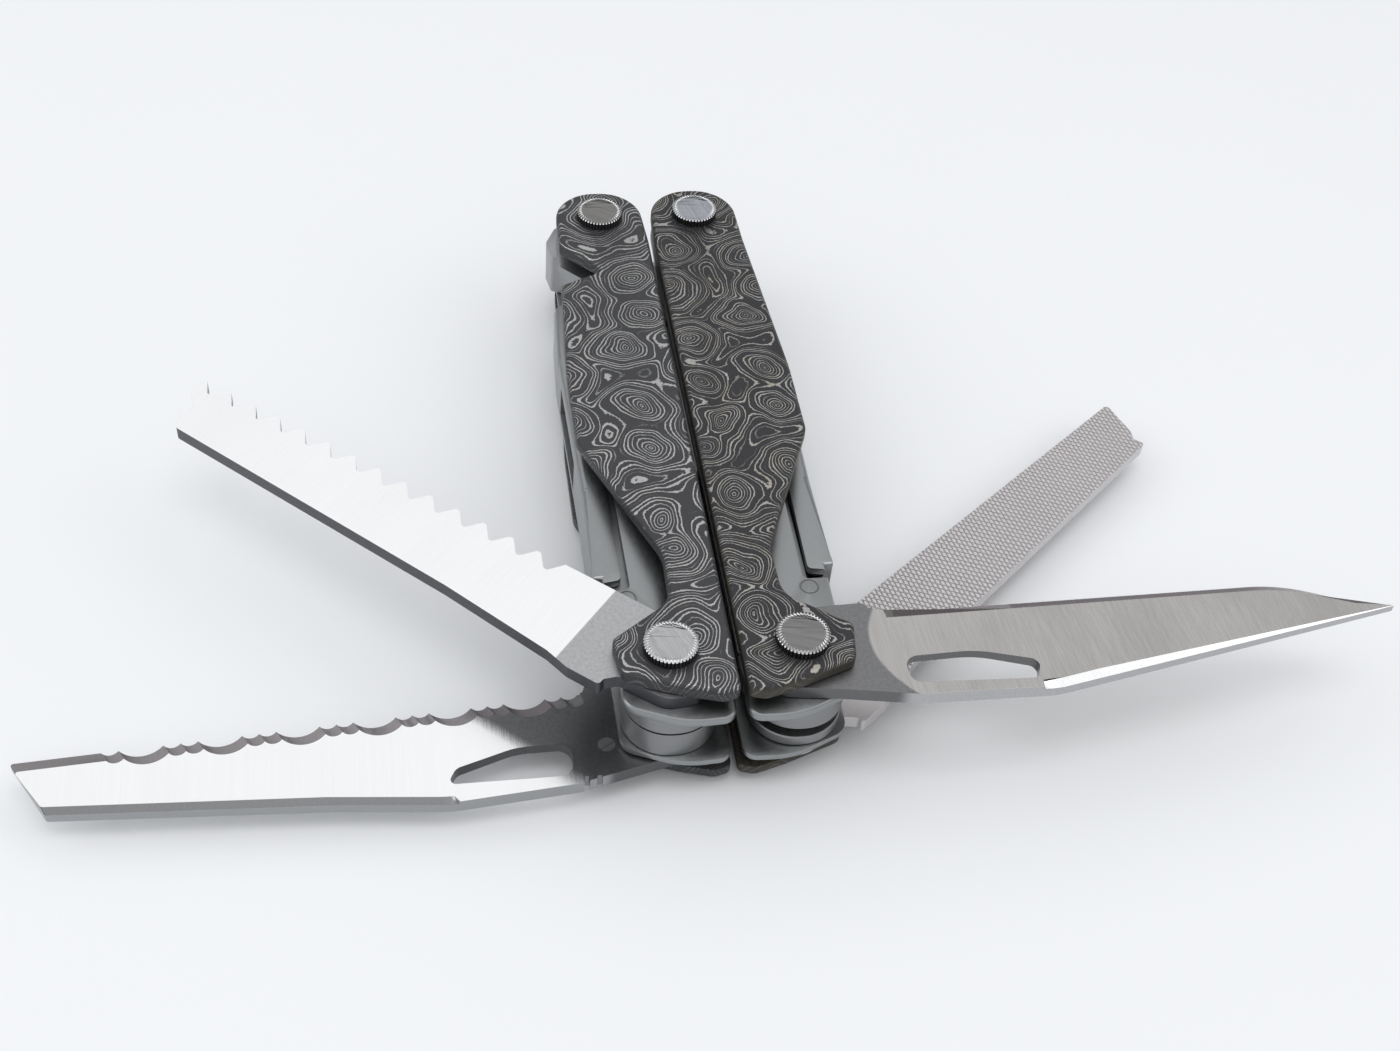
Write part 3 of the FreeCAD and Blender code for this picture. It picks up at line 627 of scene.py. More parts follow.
@dataclass(frozen=True)
class BladeSteel(Steel):
    """A ground blade: a bright face and a darker, unground tang around the pivot.

    Attributes:
        tang: The colour of the unground tang.
        flank: The colour of the walls: painted shade on them, such as the painted shadow in the saw's
            gullets.
        bevel: The painted light and shade of a bevel that leans towards +Y.
        swedge: The painted light and shade of a bevel that leans towards -Y.
        plunge: How far from the pivot the bright face starts, in millimetres.
        slant: How much nearer it starts for each millimetre to the left of the middle.
        curve: How much further it starts for each square millimetre from the middle.
        softness: How soft its start is, in millimetres.
        bevel_start: How far from the pivot the bevels take their own colour.
        shaded: How far from the pivot the walls of holes get painted shade.
        shaded_width: How far from the middle such a wall is, at most.
    """

    tang: Colour = (0.42, 0.42, 0.43)
    flank: Colour = (0.30, 0.30, 0.31)
    bevel: Colour = (0.26, 0.24, 0.25)
    swedge: Colour = (0.26, 0.26, 0.26)
    plunge: float = 11.5
    slant: float = 0.0
    curve: float = 0.0
    softness: float = 0.25
    bevel_start: float = 13.2
    shaded: float = -20.0
    shaded_width: float = 8.3

    def make(self) -> bpy.types.Material:
        """Builds the material.

        Returns:
            The material.
        """
        graph = Graph(self.name)
        streaks = self.streaks(graph)
        place = graph.turned(self.centre, self.along(), (1.0, 1.0, 1.0))
        along, across, _ = graph.parts(place)
        reach = along + across * self.slant - across * across * self.curve + (streaks - 0.5) * self.softness
        face = (reach - self.plunge).step(-self.softness, self.softness)
        satin = graph.noise(graph.coordinates(), 2.2, 3.0)
        plain = graph.mix(satin.step(0.3, 0.7), shade(self.tang, 0.85), self.tang)
        colour = graph.mix(face, plain, self.tone(graph, streaks))
        _, north, up = graph.normal()
        tilt = up.size()
        # Painted light and shade on the bevels: their colour is picked by the way each leans.
        slope = graph.mix(north.step(-0.05, 0.05), self.swedge, self.bevel)
        beyond = (along - self.bevel_start).step(-0.2, 0.2)
        colour = graph.mix(tilt.step(0.994, 0.984) * beyond * (streaks * 0.25 + 0.75), colour, slope)
        # Painted shade on the walls of holes near the pivot: the flank colour darkened to about a third.
        inside = (across.size() - self.shaded_width).step(0.2, -0.2)
        hole_wall_shade = (along - self.shaded).step(0.2, -0.2) * inside
        wall = graph.mix(hole_wall_shade, self.flank, shade(self.flank, 0.35))
        # The walls, found by their tilt, take the flank colour as painted shade.
        colour = graph.mix(tilt.step(0.6, 0.3), colour, wall)
        return graph.surface(
            {
                "Base Color": colour,
                "Metallic": 1.0,
                "Roughness": (streaks - 0.5) * 0.3 + self.roughness + (1.0 - face) * 0.12,
                "Normal": graph.bump(streaks, self.depth, 0.6),
            }
        )

    def along(self) -> float:
        """The direction of the blade, which its grain crosses."""
        return self.angle - 90.0


@dataclass(frozen=True)
class Paper:
    """The plain pale floor."""

    name: str = "studio_paper"
    colour: Colour = (0.86, 0.87, 0.885)

    def make(self) -> bpy.types.Material:
        """Builds the material.

        Returns:
            The material.
        """
        graph = Graph(self.name)
        fibre = graph.noise(graph.coordinates(), 0.02, 2.0)
        colour = graph.mix(fibre, shade(self.colour, 0.985), self.colour)
        return graph.surface({"Base Color": colour, "Roughness": 0.55, "Specular IOR Level": 0.25})


# ---- the workbench -----------------------------------------------------------------------------


class Workpiece:
    """One mesh on the bench: a primitive or a copy of a CAD node, shaped by edit-mode tools."""

    def __init__(self, shape: bpy.types.Object, name: str) -> None:
        """Takes an object to the bench.

        Args:
            shape: The object.
            name: The name that it and its mesh get.
        """
        self.shape = shape
        shape.name = name
        shape.data.name = name

    @classmethod
    def copy_of(cls, node: str, name: str) -> Workpiece:
        """A copy of a CAD node, with its triangles joined into one closed skin.

        Args:
            node: The CAD node.
            name: The copy's name.

        Returns:
            The piece.
        """
        source = frame["nodes"][node]
        shape = bpy.data.objects.new(name, source.data.copy())
        bpy.context.collection.objects.link(shape)
        shape.data.materials.clear()
        piece = cls(shape, name)
        piece.join_flat()
        return piece

    @classmethod
    def disc(cls, name: str, centre: Place, radius: float, depth: float, count: int) -> Workpiece:
        """An upright cylinder.

        Args:
            name: The piece's name.
            centre: The place of its middle, in metres.
            radius: Its radius, in metres.
            depth: Its height, in metres.
            count: How many sides it has.

        Returns:
            The piece.
        """
        bpy.ops.object.select_all(action="DESELECT")
        bpy.ops.mesh.primitive_cylinder_add(vertices=count, radius=radius, depth=depth, location=centre)
        piece = cls(bpy.context.active_object, name)
        bpy.ops.object.transform_apply(location=True, rotation=True, scale=True)
        return piece

    def alone(self) -> None:
        """Makes this the only selected object, and the active one."""
        bpy.ops.object.select_all(action="DESELECT")
        self.shape.select_set(True)
        bpy.context.view_layer.objects.active = self.shape

    def join_flat(self) -> None:
        """Joins doubled points, then faces that lie in one plane."""
        self.edit()
        bpy.ops.mesh.select_all(action="SELECT")
        bpy.ops.mesh.remove_doubles(threshold=SAME_POINT)
        bpy.ops.mesh.dissolve_limited(angle_limit=math.radians(0.5), delimit={"NORMAL"})
        self.leave()

    def edit(self) -> None:
        """Opens the mesh for editing."""
        self.alone()
        bpy.ops.object.mode_set(mode="EDIT")

    def leave(self) -> None:
        """Closes the mesh after editing."""
        bpy.ops.object.mode_set(mode="OBJECT")

    def _pick(self, kind: str, chosen: Callable[[bpy.types.Mesh], Iterable[tuple[object, bool]]]) -> None:
        """Selects mesh elements of a kind and opens the mesh for editing.

        Args:
            kind: VERT, EDGE or FACE.
            chosen: Gives each element of the mesh with whether it is wanted.
        """
        mesh = self.shape.data
        for group in (mesh.vertices, mesh.edges, mesh.polygons):
            group.foreach_set("select", [False] * len(group))
        for element, wanted in chosen(mesh):
            element.select = wanted
        self.edit()
        bpy.ops.mesh.select_mode(type=kind)

    def pick_points(self, test: Callable[[Vector], bool]) -> None:
        """Selects the vertices whose place passes the test."""
        self._pick("VERT", lambda mesh: ((v, bool(test(v.co))) for v in mesh.vertices))

    def pick_edges(self, test: Callable[[Vector, Vector], bool]) -> None:
        """Selects edges.

        Args:
            test: Whether the edge between two places is wanted.
        """

        def chosen(mesh: bpy.types.Mesh) -> Iterable[tuple[object, bool]]:
            """Each edge, with whether it passes."""
            for edge in mesh.edges:
                ends = [mesh.vertices[index].co for index in edge.vertices]
                yield edge, bool(test(*ends))

        self._pick("EDGE", chosen)

    def pick_faces(self, test: Callable[[Vector, Vector], bool]) -> None:
        """Selects the faces whose centre and normal pass the test."""
        self._pick("FACE", lambda mesh: ((f, bool(test(f.center, f.normal))) for f in mesh.polygons))

    @staticmethod
    def key(place: Vector) -> tuple[int, ...]:
        """A place, rounded so that it can be looked up."""
        return tuple(round(value / SAME_POINT) for value in place)

    def rim(self) -> set[tuple[int, ...]]:
        """The points between an upward face and a wall.

        Returns:
            Their keys.
        """
        mesh = self.shape.data
        upward, walls = set(), set()
        for face in mesh.polygons:
            group = upward if face.normal.z > 0.9 else walls if abs(face.normal.z) < 0.3 else None
            if group is not None:
                group.update(face.edge_keys)
        return {self.key(mesh.vertices[index].co) for edge in upward & walls for index in edge}

    def scribe(self, place: Place, normal: Place) -> None:
        """Adds a line where a plane crosses the skin, which can then be folded there.

        Args:
            place: A place on the plane.
            normal: The plane's normal.
        """
        self.edit()
        bpy.ops.mesh.select_all(action="SELECT")
        bpy.ops.mesh.bisect(plane_co=place, plane_no=normal)
        self.leave()

    def slide(self, by: Place, creased: bool = False) -> None:
        """Moves the picked points and closes the mesh.

        Args:
            by: How far, along each axis.
            creased: Whether the edges between them are marked as sharp.
        """
        bpy.ops.transform.translate(value=by)
        if creased:
            bpy.ops.mesh.select_mode(type="EDGE")
            bpy.ops.mesh.mark_sharp()
        self.leave()

    def bevel(self, width: float, rounds: int) -> None:
        """Bevels the picked edges and closes the mesh."""
        bpy.ops.mesh.bevel(
            offset=width, offset_type="OFFSET", segments=rounds, profile=0.5, clamp_overlap=False
        )
        self.leave()

    def soften(self, width: float, rounds: int = 2, angle: float = 28.0) -> None:
        """Breaks the sharp edges, by a modifier that is applied.

        Args:
            width: How far each edge is broken, in metres.
            rounds: How many facets each broken edge gets.
            angle: The least angle, in degrees, between the faces at such an edge.
        """
        self.alone()
        bevel = self.shape.modifiers.new("broken_edges", "BEVEL")
        bevel.width = width
        bevel.segments = rounds
        bevel.limit_method = "ANGLE"
        bevel.angle_limit = math.radians(angle)
        bevel.use_clamp_overlap = True
        bpy.ops.object.modifier_apply(modifier=bevel.name)

    def fit(self, node: str, material: bpy.types.Material, crease: float = 30.0) -> None:
        """Shades and dresses the mesh, and puts it on the CAD node's body in the node's place.

        Args:
            node: The CAD node.
            material: The finish.
            crease: The angle, in degrees, from which an edge stays sharp in the shading.
        """
        self.alone()
        bpy.ops.object.shade_smooth_by_angle(angle=math.radians(crease))
        self.shape.data.materials.clear()
        self.shape.data.materials.append(material)
        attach(self.shape, BODY_OF[node])
        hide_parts(node)
        LOG.info("%s: %d faces", self.shape.name, len(self.shape.data.polygons))


def refined(node: str, material: bpy.types.Material, width: float, rounds: int = 2) -> None:
    """Replaces a CAD node with a copy whose edges are broken as they are on the real piece.

    Args:
        node: The CAD node.
        material: Its finish.
        width: How far each edge is broken, in metres.
        rounds: How many facets each broken edge gets.
    """
    piece = Workpiece.copy_of(node, f"{node}_finished")
    piece.soften(width, rounds)
    piece.fit(node, material)


def dressed(node: str, material: bpy.types.Material) -> None:
    """Gives a CAD node its finish and leaves its shape.

    Args:
        node: The CAD node.
        material: Its finish.
    """
    shape = frame["nodes"][node]
    for slot in shape.material_slots:
        slot.material = material
    if not shape.material_slots:
        shape.data.materials.append(material)
    LOG.info("%s: dressed", node)


# ---- sub-assemblies ----------------------------------------------------------------------------


@dataclass
class Scales:
    """The four etched handle scales."""

    edge: float = 0.12 * MM
    left: Damascus = Damascus(
        "left_damascus",
        ground=(0.040, 0.040, 0.043), line=(0.56, 0.56, 0.55),
        tint=(0.60, 0.54, 0.54), flank=(0.060, 0.060, 0.063),
        rings=13.0, wobble=3.4, ragged=0.26, thin=0.58, shift=(3.0, 2.0, 0.0),
    )
    right: Damascus = Damascus(
        "right_damascus",
        ground=(0.026, 0.026, 0.029), line=(0.52, 0.51, 0.49),
        tint=(0.50, 0.42, 0.26), flank=(0.072, 0.064, 0.050),
        drop=9.0, rings=14.5, wobble=3.8, ragged=0.34, thin=0.64, tinted=0.6, shift=(21.0, 9.0, 0.0),
    )

    def build(self) -> None:
        """Makes the scales of both handles."""
        for side, finish in ((Side.LEFT, self.left), (Side.RIGHT, self.right)):
            for layer, outward in ((Layer.UPPER, 1.0), (Layer.LOWER, -1.0)):
                facing = replace(finish, name=f"{finish.name}_{layer.value}", outward=outward)
                refined(f"{side.word}_{layer.value}_scale", facing.make(), self.edge)


@dataclass
class Frames:
    """The two folded handle frames with their blade locks.

    Attributes:
        bend: The radius of the web's bends.
        edge: How far the other edges are broken.
        web_start: The near end of the web.
        bend_start: The near end of the bends.
        web_end: The far end of the web and of its bends.
        web_reach: How far from the tool's middle the web's outer side is, at least.
        broken: The chamfer of the CAD frame, which the bends replace.
        steel: The finish of the frames.
        lock_steel: The finish of the locks.
    """

    bend: float = 1.0 * MM
    edge: float = 0.12 * MM
    web_start: float = -28.0 * MM
    bend_start: float = -24.0 * MM
    web_end: float = 37.8 * MM
    web_reach: float = 14.9 * MM
    broken: float = 0.25 * MM
    steel: StampedSteel = StampedSteel("frame_satin", (0.33, 0.34, 0.345), 0.38, 90.0, Grain.SATIN)
    lock_steel: Steel = Steel("lock_satin", (0.36, 0.36, 0.36), 0.36, 90.0, Grain.SATIN)

    def build(self) -> None:
        """Makes the frames, then the locks."""
        material = self.steel.make()
        for side in Side:
            self.frame(side, material)
        lock = self.lock_steel.make()
        for side in Side:
            for layer in Layer:
                refined(f"{side.word}_{layer.value}_blade_lock", lock, self.edge)

    def frame(self, side: Side, material: bpy.types.Material) -> None:
        """Makes one frame, with the outer edges of its web bent round.

        Args:
            side: The handle.
            material: The frame's finish.
        """
        node = f"{side.word}_frame"
        low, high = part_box(node)
        piece = Workpiece.copy_of(node, f"{node}_finished")
        for height, step in ((high.z, 1.0), (low.z, -1.0)):
            broken = height - step * self.broken
            piece.pick_points(
                lambda place: abs(place.z - broken) < 2.0 * NEAR
                and side.value * place.x > self.web_reach
                and self.web_start < place.y < self.web_end
            )
            piece.slide((0.0, 0.0, step * self.broken))
        piece.join_flat()
        piece.scribe((0.0, self.bend_start, 0.0), (0.0, 1.0, 0.0))

        def on_bend(first: Vector, second: Vector) -> bool:
            """An edge along the web's outer side, on the top or bottom face."""
            return all(
                min(abs(end.z - low.z), abs(end.z - high.z)) < NEAR
                and side.value * end.x > self.web_reach
                and self.bend_start - NEAR < end.y < self.web_end
                for end in (first, second)
            )

        piece.pick_edges(on_bend)
        piece.bevel(self.bend, 5)
        piece.soften(self.edge)
        piece.fit(node, material)


@dataclass
class Pivots:
    """The four pivots, each a headed barrel with a knurled screw in it.

    Attributes:
        ridges: How many ridges a knurl has.
        ridge_corners: How many of the head's corners a ridge takes, with the groove beside it.
        crease: The angle, in degrees, from which an edge stays sharp in the shading.
        head_radius: A head's radius.
        head_height: A head's height.
        groove: The depth of the knurl's grooves.
        rim: The width of the chamfer round a head's face.
        kinds: The screw and the barrel, each with whether its head points up and its stem's radius.
    """

    ridges: int = 44
    ridge_corners: int = 4
    crease: float = 24.0
    head_radius: float = 3.4 * MM
    head_height: float = 1.3 * MM
    groove: float = 0.17 * MM
    rim: float = 0.22 * MM
    kinds: tuple[tuple[str, bool, float], ...] = (("screw", True, 1.2 * MM), ("barrel", False, 2.4 * MM))

    def head(self, node: str, centre: Vector, upward: bool, stem: float) -> Workpiece:
        """A knurled head with its stem, as high as a CAD node.

        Args:
            node: The CAD node.
            centre: The pivot's place. Its height isn't used.
            upward: Whether the head points up.
            stem: The stem's radius.

        Returns:
            The piece.
        """
        low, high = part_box(node)
        sign, outer, stem_end = (1.0, high.z, low.z) if upward else (-1.0, low.z, high.z)
        base = outer - sign * self.head_height
        middle = (centre.x, centre.y, base + sign * self.head_height / 2)
        corners = self.ridges * self.ridge_corners
        piece = Workpiece.disc(f"{node}_finished", middle, self.head_radius, self.head_height, corners)

        def in_groove(place: Vector) -> bool:
            """A corner at the root of a groove of the knurl."""
            turn = math.atan2(place.y - centre.y, place.x - centre.x)
            return round(turn * corners / (2.0 * math.pi)) % self.ridge_corners == 0

        piece.pick_points(in_groove)
        share = 1.0 - self.groove / self.head_radius
        bpy.ops.transform.resize(value=(share, share, 1.0), center_override=middle)
        piece.leave()
        piece.pick_faces(lambda place, normal: abs(place.z - outer) < NEAR and abs(normal.z) > 0.9)
        bpy.ops.mesh.inset(thickness=self.rim, depth=0.0)
        bpy.ops.mesh.inset(thickness=self.rim * 0.5, depth=0.0)
        piece.leave()
        edge = self.head_radius - self.rim * 0.6

        def on_rim(place: Vector) -> bool:
            """A corner of the head's outer edge."""
            away = math.hypot(place.x - centre.x, place.y - centre.y)
            return abs(place.z - outer) < NEAR and away > edge

        piece.pick_points(on_rim)
        bpy.ops.transform.translate(value=(0.0, 0.0, -sign * self.rim))
        piece.leave()
        piece.pick_faces(lambda place, normal: abs(place.z - base) < NEAR and abs(normal.z) > 0.9)
        bpy.ops.mesh.inset(thickness=self.groove, depth=0.0)
        bpy.ops.mesh.inset(thickness=self.head_radius - self.groove - stem - self.groove * 0.5, depth=0.0)
        bpy.ops.mesh.extrude_region_move(TRANSFORM_OT_translate={"value": (0.0, 0.0, stem_end - base)})
        piece.leave()
        return piece

    def build(self) -> None:
        """Makes the four screws and the four barrels."""
        faces = {
            ("left", "near"): ScrewSteel("left_near_screw", (0.50, 0.50, 0.51), 0.36, 112.0),
            ("right", "near"): ScrewSteel("right_near_screw", (0.25, 0.245, 0.245), 0.32, 160.0),
            ("left", "far"): ScrewSteel("left_far_screw", (0.25, 0.245, 0.235), 0.34, 150.0),
            ("right", "far"): ScrewSteel("right_far_screw", (0.42, 0.435, 0.47), 0.30, 105.0),
        }
        for (side, end), finish in faces.items():
            material = finish.make()
            low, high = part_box(f"{side}_{end}_pivot_screw")
            centre = (low + high) / 2
            for kind, upward, stem in self.kinds:
                node = f"{side}_{end}_pivot_{kind}"
                self.head(node, centre, upward, stem).fit(node, material, self.crease)


@dataclass(frozen=True)
class Slope:
    """A narrow bevel along one side of a blade's upper face, measured in millimetres from its pivot.

    Attributes:
        side: 1 for the side left of the blade's direction, and -1 for the right.
        start: How far from the pivot it starts.
        end: How far from the pivot it ends.
        width: How far the top of the wall moves inward.
        drop: How far down the wall a line is scribed for its foot. At 0 it ends at the line there is.
        lean: How far the top of the wall moves along the blade for each millimetre to the left.
        line: How far from the middle the wall is at least, at the pivot, and how much less per millimetre.
    """

    side: int
    start: float
    end: float
    width: float
    drop: float = 0.0
    lean: float = 0.0
    line: tuple[float, float] = (0.0, 0.0)

    def holds(self, along: float, across: float) -> bool:
        """Whether a place is on the bevelled side, between the bevel's ends."""
        return self.start <= along <= self.end and across * self.side >= self.line[0] - self.line[1] * along


@dataclass
class Blade:
    """One outside blade: a CAD blank whose upper face gets its narrow bevels."""

    node: str
    steel: Steel
    pivot: Place
    angle: float
    slopes: tuple[Slope, ...] = ()
    broken: float = 0.05 * MM
    crease: float = 20.0

    def local(self, place: Vector) -> tuple[float, float]:
        """A place, measured from the blade's pivot.

        Args:
            place: The place, in the tool's frame.

        Returns:
            How far along the blade it is and how far to the left of it, in millimetres.
        """
        turn = math.radians(self.angle)
        x, y = place.x / MM - self.pivot[0], place.y / MM - self.pivot[1]
        return x * math.cos(turn) + y * math.sin(turn), y * math.cos(turn) - x * math.sin(turn)

    def build(self) -> None:
        """Makes the blade."""
        piece = Workpiece.copy_of(self.node, f"{self.node}_finished")
        for slope in self.slopes:
            self.fold(piece, slope)
        piece.soften(self.broken, 1)
        piece.fit(self.node, self.steel.make(), self.crease)

    def fold(self, piece: Workpiece, slope: Slope) -> None:
        """Folds the top of the blade's wall inward, which leaves a bevel along one side.

        Args:
            piece: The blade.
            slope: Where the bevel is, how wide it is and how far it drops.
        """
        turn = math.radians(self.angle)
        ahead = (math.cos(turn), math.sin(turn), 0.0)
        if slope.drop:
            piece.scribe((0.0, 0.0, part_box(self.node)[1].z - slope.drop * MM), (0.0, 0.0, 1.0))
            for reach in (slope.start - 0.1 - abs(slope.lean) * slope.width, slope.start + 0.1):
                start = tuple((at + reach * step) * MM for at, step in zip(self.pivot, ahead))
                piece.scribe(start, ahead)
        rim = piece.rim()
        piece.pick_points(lambda place: Workpiece.key(place) in rim and slope.holds(*self.local(place)))
        across = -slope.side * slope.width * MM
        along = slope.lean * across
        by = (along * ahead[0] - across * ahead[1], along * ahead[1] + across * ahead[0], 0.0)
        piece.slide(by, creased=True)


@dataclass
class Blades:
    """The four outside blades: knife, serrated blade, saw and file."""

    left_pivot: Place = (-8.2, -41.0, 0.0)
    right_pivot: Place = (8.2, -41.0, 0.0)
    knife_angle: float = 1.7
    serrated_angle: float = 180.0
    saw_angle: float = 140.0
    file_angle: float = 39.0
    crosswise: float = 90.0

    def build(self) -> None:
        """Makes the blades and the serrated blade's stop stud."""
        for blade in (self.knife(), self.serrated(), self.saw(), self.file()):
            blade.build()
        stud = Steel("stud_steel", (0.40, 0.40, 0.41), 0.3, 30.0)
        dressed("serrated_stop_stud", stud.make())

    def knife(self) -> Blade:
        """The clip-point knife, ground across its length.

        Returns:
            The blade.
        """
        # The spine bevel gets a painted highlight, and the edge bevel painted shade.
        steel = BladeSteel(
            "knife_steel", (0.47, 0.455, 0.44), 0.28, self.knife_angle + self.crosswise, Grain.GROUND,
            centre=self.right_pivot, plunge=9.0, curve=0.055, shaded=30.0, tang=(0.23, 0.23, 0.235),
            flank=(0.46, 0.46, 0.47), bevel=(0.28, 0.24, 0.255), swedge=(0.95, 0.95, 0.95),
        )
        spine = Slope(-1, 29.0, 76.0, 1.1, 0.5, line=(13.5, 0.162))
        edge = Slope(1, 11.0, 76.0, 1.1)
        return Blade("knife_blade", steel, self.right_pivot, self.knife_angle, (spine, edge))

    def serrated(self) -> Blade:
        """The serrated blade, polished near its point.

        Returns:
            The blade.
        """
        # Both bevels get painted shade, and the walls painted shade as well.
        steel = BladeSteel(
            "serrated_steel", (0.97, 0.97, 0.97), 0.2, self.serrated_angle + self.crosswise, Grain.MIRROR,
            centre=self.left_pivot, plunge=21.5, slant=1.15, softness=1.6, depth=0.003, shaded=30.0,
            tang=(0.20, 0.20, 0.205), flank=(0.36, 0.365, 0.375), bevel=(0.24, 0.215, 0.225),
            swedge=(0.15, 0.15, 0.155),
        )
        spine = Slope(1, 26.5, 90.0, 0.9, 0.5, -0.51, (11.44, 0.0672))
        edge = Slope(-1, 10.6, 90.0, 1.5, 0.35, -0.51, (-0.8, 0.0))
        return Blade("serrated_blade", steel, self.left_pivot, self.serrated_angle, (spine, edge))

    def saw(self) -> Blade:
        """The saw, with its bright brushed faces.

        Returns:
            The blade.
        """
        # The dark walls are the painted shadow in the teeth's gullets.
        steel = BladeSteel(
            "saw_steel", (0.98, 0.98, 0.98), 0.30, self.saw_angle + self.crosswise, Grain.MIRROR,
            centre=self.left_pivot, softness=0.08, depth=0.003,
            tang=(0.50, 0.50, 0.51), flank=(0.10, 0.10, 0.11),
        )
        return Blade("saw_blade", steel, self.left_pivot, self.saw_angle)

    def file(self) -> Blade:
        """The double-cut file.

        Returns:
            The blade.
        """
        steel = FileSteel(
            "file_steel", (0.66, 0.635, 0.64), 0.42, self.file_angle, Grain.SATIN, centre=self.right_pivot
        )
        return Blade("file_blade", steel, self.right_pivot, self.file_angle)


@dataclass
class PlierHead:
    """The two plier halves and their rivet."""

    edge: float = 0.3 * MM
    steel: Steel = Steel("plier_steel", (0.36, 0.36, 0.37), 0.34, 90.0, Grain.SATIN)

    def build(self) -> None:
        """Makes the plier head."""
        material = self.steel.make()
        for side in Side:
            refined(f"{side.word}_plier_jaw", material, self.edge)
        dressed("plier_rivet", material)


@dataclass
class InsideTools:
    """The tools inside the handles."""

    edge: float = 0.15 * MM
    steel: Steel = Steel("tool_steel", (0.29, 0.295, 0.30), 0.42, 90.0, Grain.SATIN)
    nodes: tuple[str, ...] = (
        "large_bit_driver",
        "large_bit",
        "can_opener",
        "scissors_fixed_blade",
        "scissors_lever_blade",
        "scissors_rivet",
        "scissors_spring",
        "small_bit_driver",
        "small_bit",
    )

    def build(self) -> None:
        """Makes the inside tools."""
        material = self.steel.make()
        for node in self.nodes:
            refined(node, material, self.edge, 1)


@dataclass
class Rings:
    """The washers and spacers on the pivots."""

    bronze: Steel = Steel("washer_bronze", (0.62, 0.34, 0.15), 0.32, 0.0, Grain.SATIN)
    steel: Steel = Steel("spacer_steel", (0.58, 0.58, 0.58), 0.30, 0.0, Grain.SATIN)

    def build(self) -> None:
        """Dresses the rings."""
        bronze, steel = self.bronze.make(), self.steel.make()
        for side in Side:
            dressed(f"{side.word}_blade_washers", bronze)
            for kind in ("tool_washers", "plier_washers", "scale_spacers"):
                dressed(f"{side.word}_{kind}", steel)


# ---- studio ------------------------------------------------------------------------------------


@dataclass
class Lamp:
    """One soft light: a rectangle that points at the tool."""

    name: str
    place: Place
    width: float
    height: float
    power: float
    colour: Colour = (1.0, 1.0, 1.0)

    def build(self) -> None:
        """Hangs the light."""
        light = bpy.data.lights.new(self.name, "AREA")
        light.shape = "RECTANGLE"
        light.size = self.width
        light.size_y = self.height
        light.energy = self.power
        light.color = self.colour
        holder = bpy.data.objects.new(self.name, light)
        bpy.context.collection.objects.link(holder)
        holder.location = self.place
        holder.rotation_euler = Vector(self.place).to_track_quat("Z", "Y").to_euler()


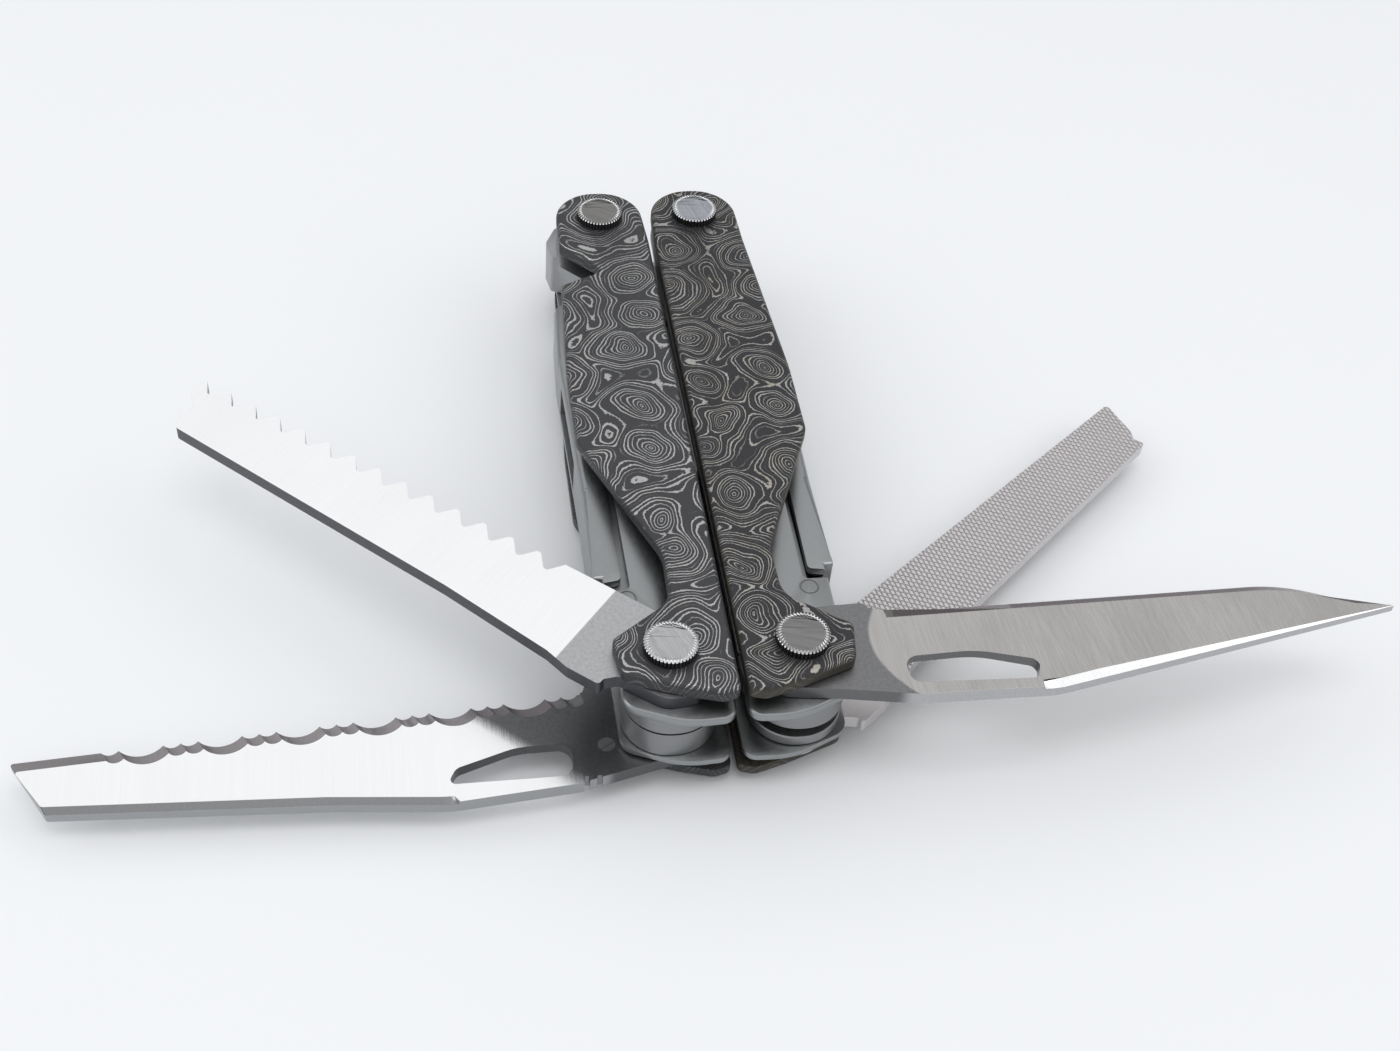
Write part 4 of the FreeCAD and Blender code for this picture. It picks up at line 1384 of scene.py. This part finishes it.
@dataclass
class Studio:
    """The floor, the lights, the surroundings and the camera."""

    floor_size: float = 6.0
    floor_gap: float = 0.02 * MM
    camera_place: Place = (-0.03805, -0.18031, 0.18926)
    yaw: float = 0.225
    pitch: float = 0.806
    roll: float = 0.105
    lens: float = 46.82
    lamps: list[Lamp] = field(
        default_factory=lambda: [
            Lamp("overhead", (0.0, -0.15, 0.8), 0.5, 0.3, 1.1),
            Lamp("window_left", (-0.75, 0.05, 0.45), 0.6, 0.7, 1.1, (0.96, 0.98, 1.0)),
            Lamp("fill_right", (0.75, -0.15, 0.5), 0.5, 0.6, 0.6),
        ]
    )

    def build(self) -> None:
        """Sets up the studio."""
        self.floor()
        for lamp in self.lamps:
            lamp.build()
        self.surroundings()
        self.camera()
        bpy.context.scene.view_settings.view_transform = "Standard"

    def floor(self) -> None:
        """Lays the pale floor, just under the tool."""
        bpy.ops.object.select_all(action="DESELECT")
        bpy.ops.mesh.primitive_plane_add(size=self.floor_size, location=(0.0, 0.0, -self.floor_gap))
        floor = bpy.context.active_object
        floor.name = "studio_floor"
        floor.data.materials.append(Paper().make())
        floor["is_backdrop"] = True

    def surroundings(self) -> None:
        """A pale room that metal can mirror: bright above, greyer at the horizon."""
        world = bpy.data.worlds.new("studio_room")
        bpy.context.scene.world = world
        world.use_nodes = True
        tree = world.node_tree
        tree.nodes.clear()
        source = tree.nodes.new("ShaderNodeTexCoord")
        split = tree.nodes.new("ShaderNodeSeparateXYZ")
        ramp = tree.nodes.new("ShaderNodeValToRGB")
        stops = ramp.color_ramp.elements
        stops[0].position, stops[0].color = 0.0, (0.30, 0.31, 0.33, 1.0)
        stops[1].position, stops[1].color = 1.0, (0.80, 0.81, 0.83, 1.0)
        for position, level in ((0.3, 0.52), (0.58, 1.12), (0.84, 1.12)):
            stops.new(position).color = (level, level * 1.01, level * 1.02, 1.0)
        back = tree.nodes.new("ShaderNodeBackground")
        back.inputs["Strength"].default_value = 0.85
        out = tree.nodes.new("ShaderNodeOutputWorld")
        tree.links.new(source.outputs["Generated"], split.inputs[0])
        tree.links.new(split.outputs["Z"], ramp.inputs[0])
        tree.links.new(ramp.outputs[0], back.inputs[0])
        tree.links.new(back.outputs[0], out.inputs[0])

    def camera(self) -> None:
        """Stands the camera in front of the near ends and a little to the left."""
        lens = bpy.data.cameras.new("camera")
        lens.lens = self.lens
        lens.sensor_width = 36.0
        lens.clip_start = 0.005
        holder = bpy.data.objects.new("camera", lens)
        bpy.context.collection.objects.link(holder)
        ahead = Vector(
            (
                math.sin(self.yaw) * math.cos(self.pitch),
                math.cos(self.yaw) * math.cos(self.pitch),
                -math.sin(self.pitch),
            )
        )
        level = Vector((math.cos(self.yaw), -math.sin(self.yaw), 0.0))
        upright = level.cross(ahead)
        across = math.cos(self.roll) * level + math.sin(self.roll) * upright
        above = -math.sin(self.roll) * level + math.cos(self.roll) * upright
        turn = Matrix((across, above, -ahead)).transposed()
        holder.matrix_world = Matrix.Translation(self.camera_place) @ turn.to_4x4()
        bpy.context.scene.camera = holder


def write_sizes(cad_box: tuple[Vector, Vector]) -> None:
    """Measures the box of the finished model and lists it beside the box of the CAD model.

    Args:
        cad_box: The lowest and highest corner of the CAD model.
    """
    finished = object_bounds()
    rows = [[list(corner) for corner in box] for box in (cad_box, finished)]


def main() -> None:
    """Builds the sub-assemblies in order, and the studio around them."""
    logging.basicConfig(level=logging.INFO, format="%(name)s %(message)s")
    cad_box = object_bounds()
    for assembly in (Frames(), Rings(), InsideTools(), PlierHead(), Blades(), Pivots(), Scales()):
        LOG.info("building %s", type(assembly).__name__)
        assembly.build()
    Studio().build()
    write_sizes(cad_box)


if __name__ == "__main__":
    main()
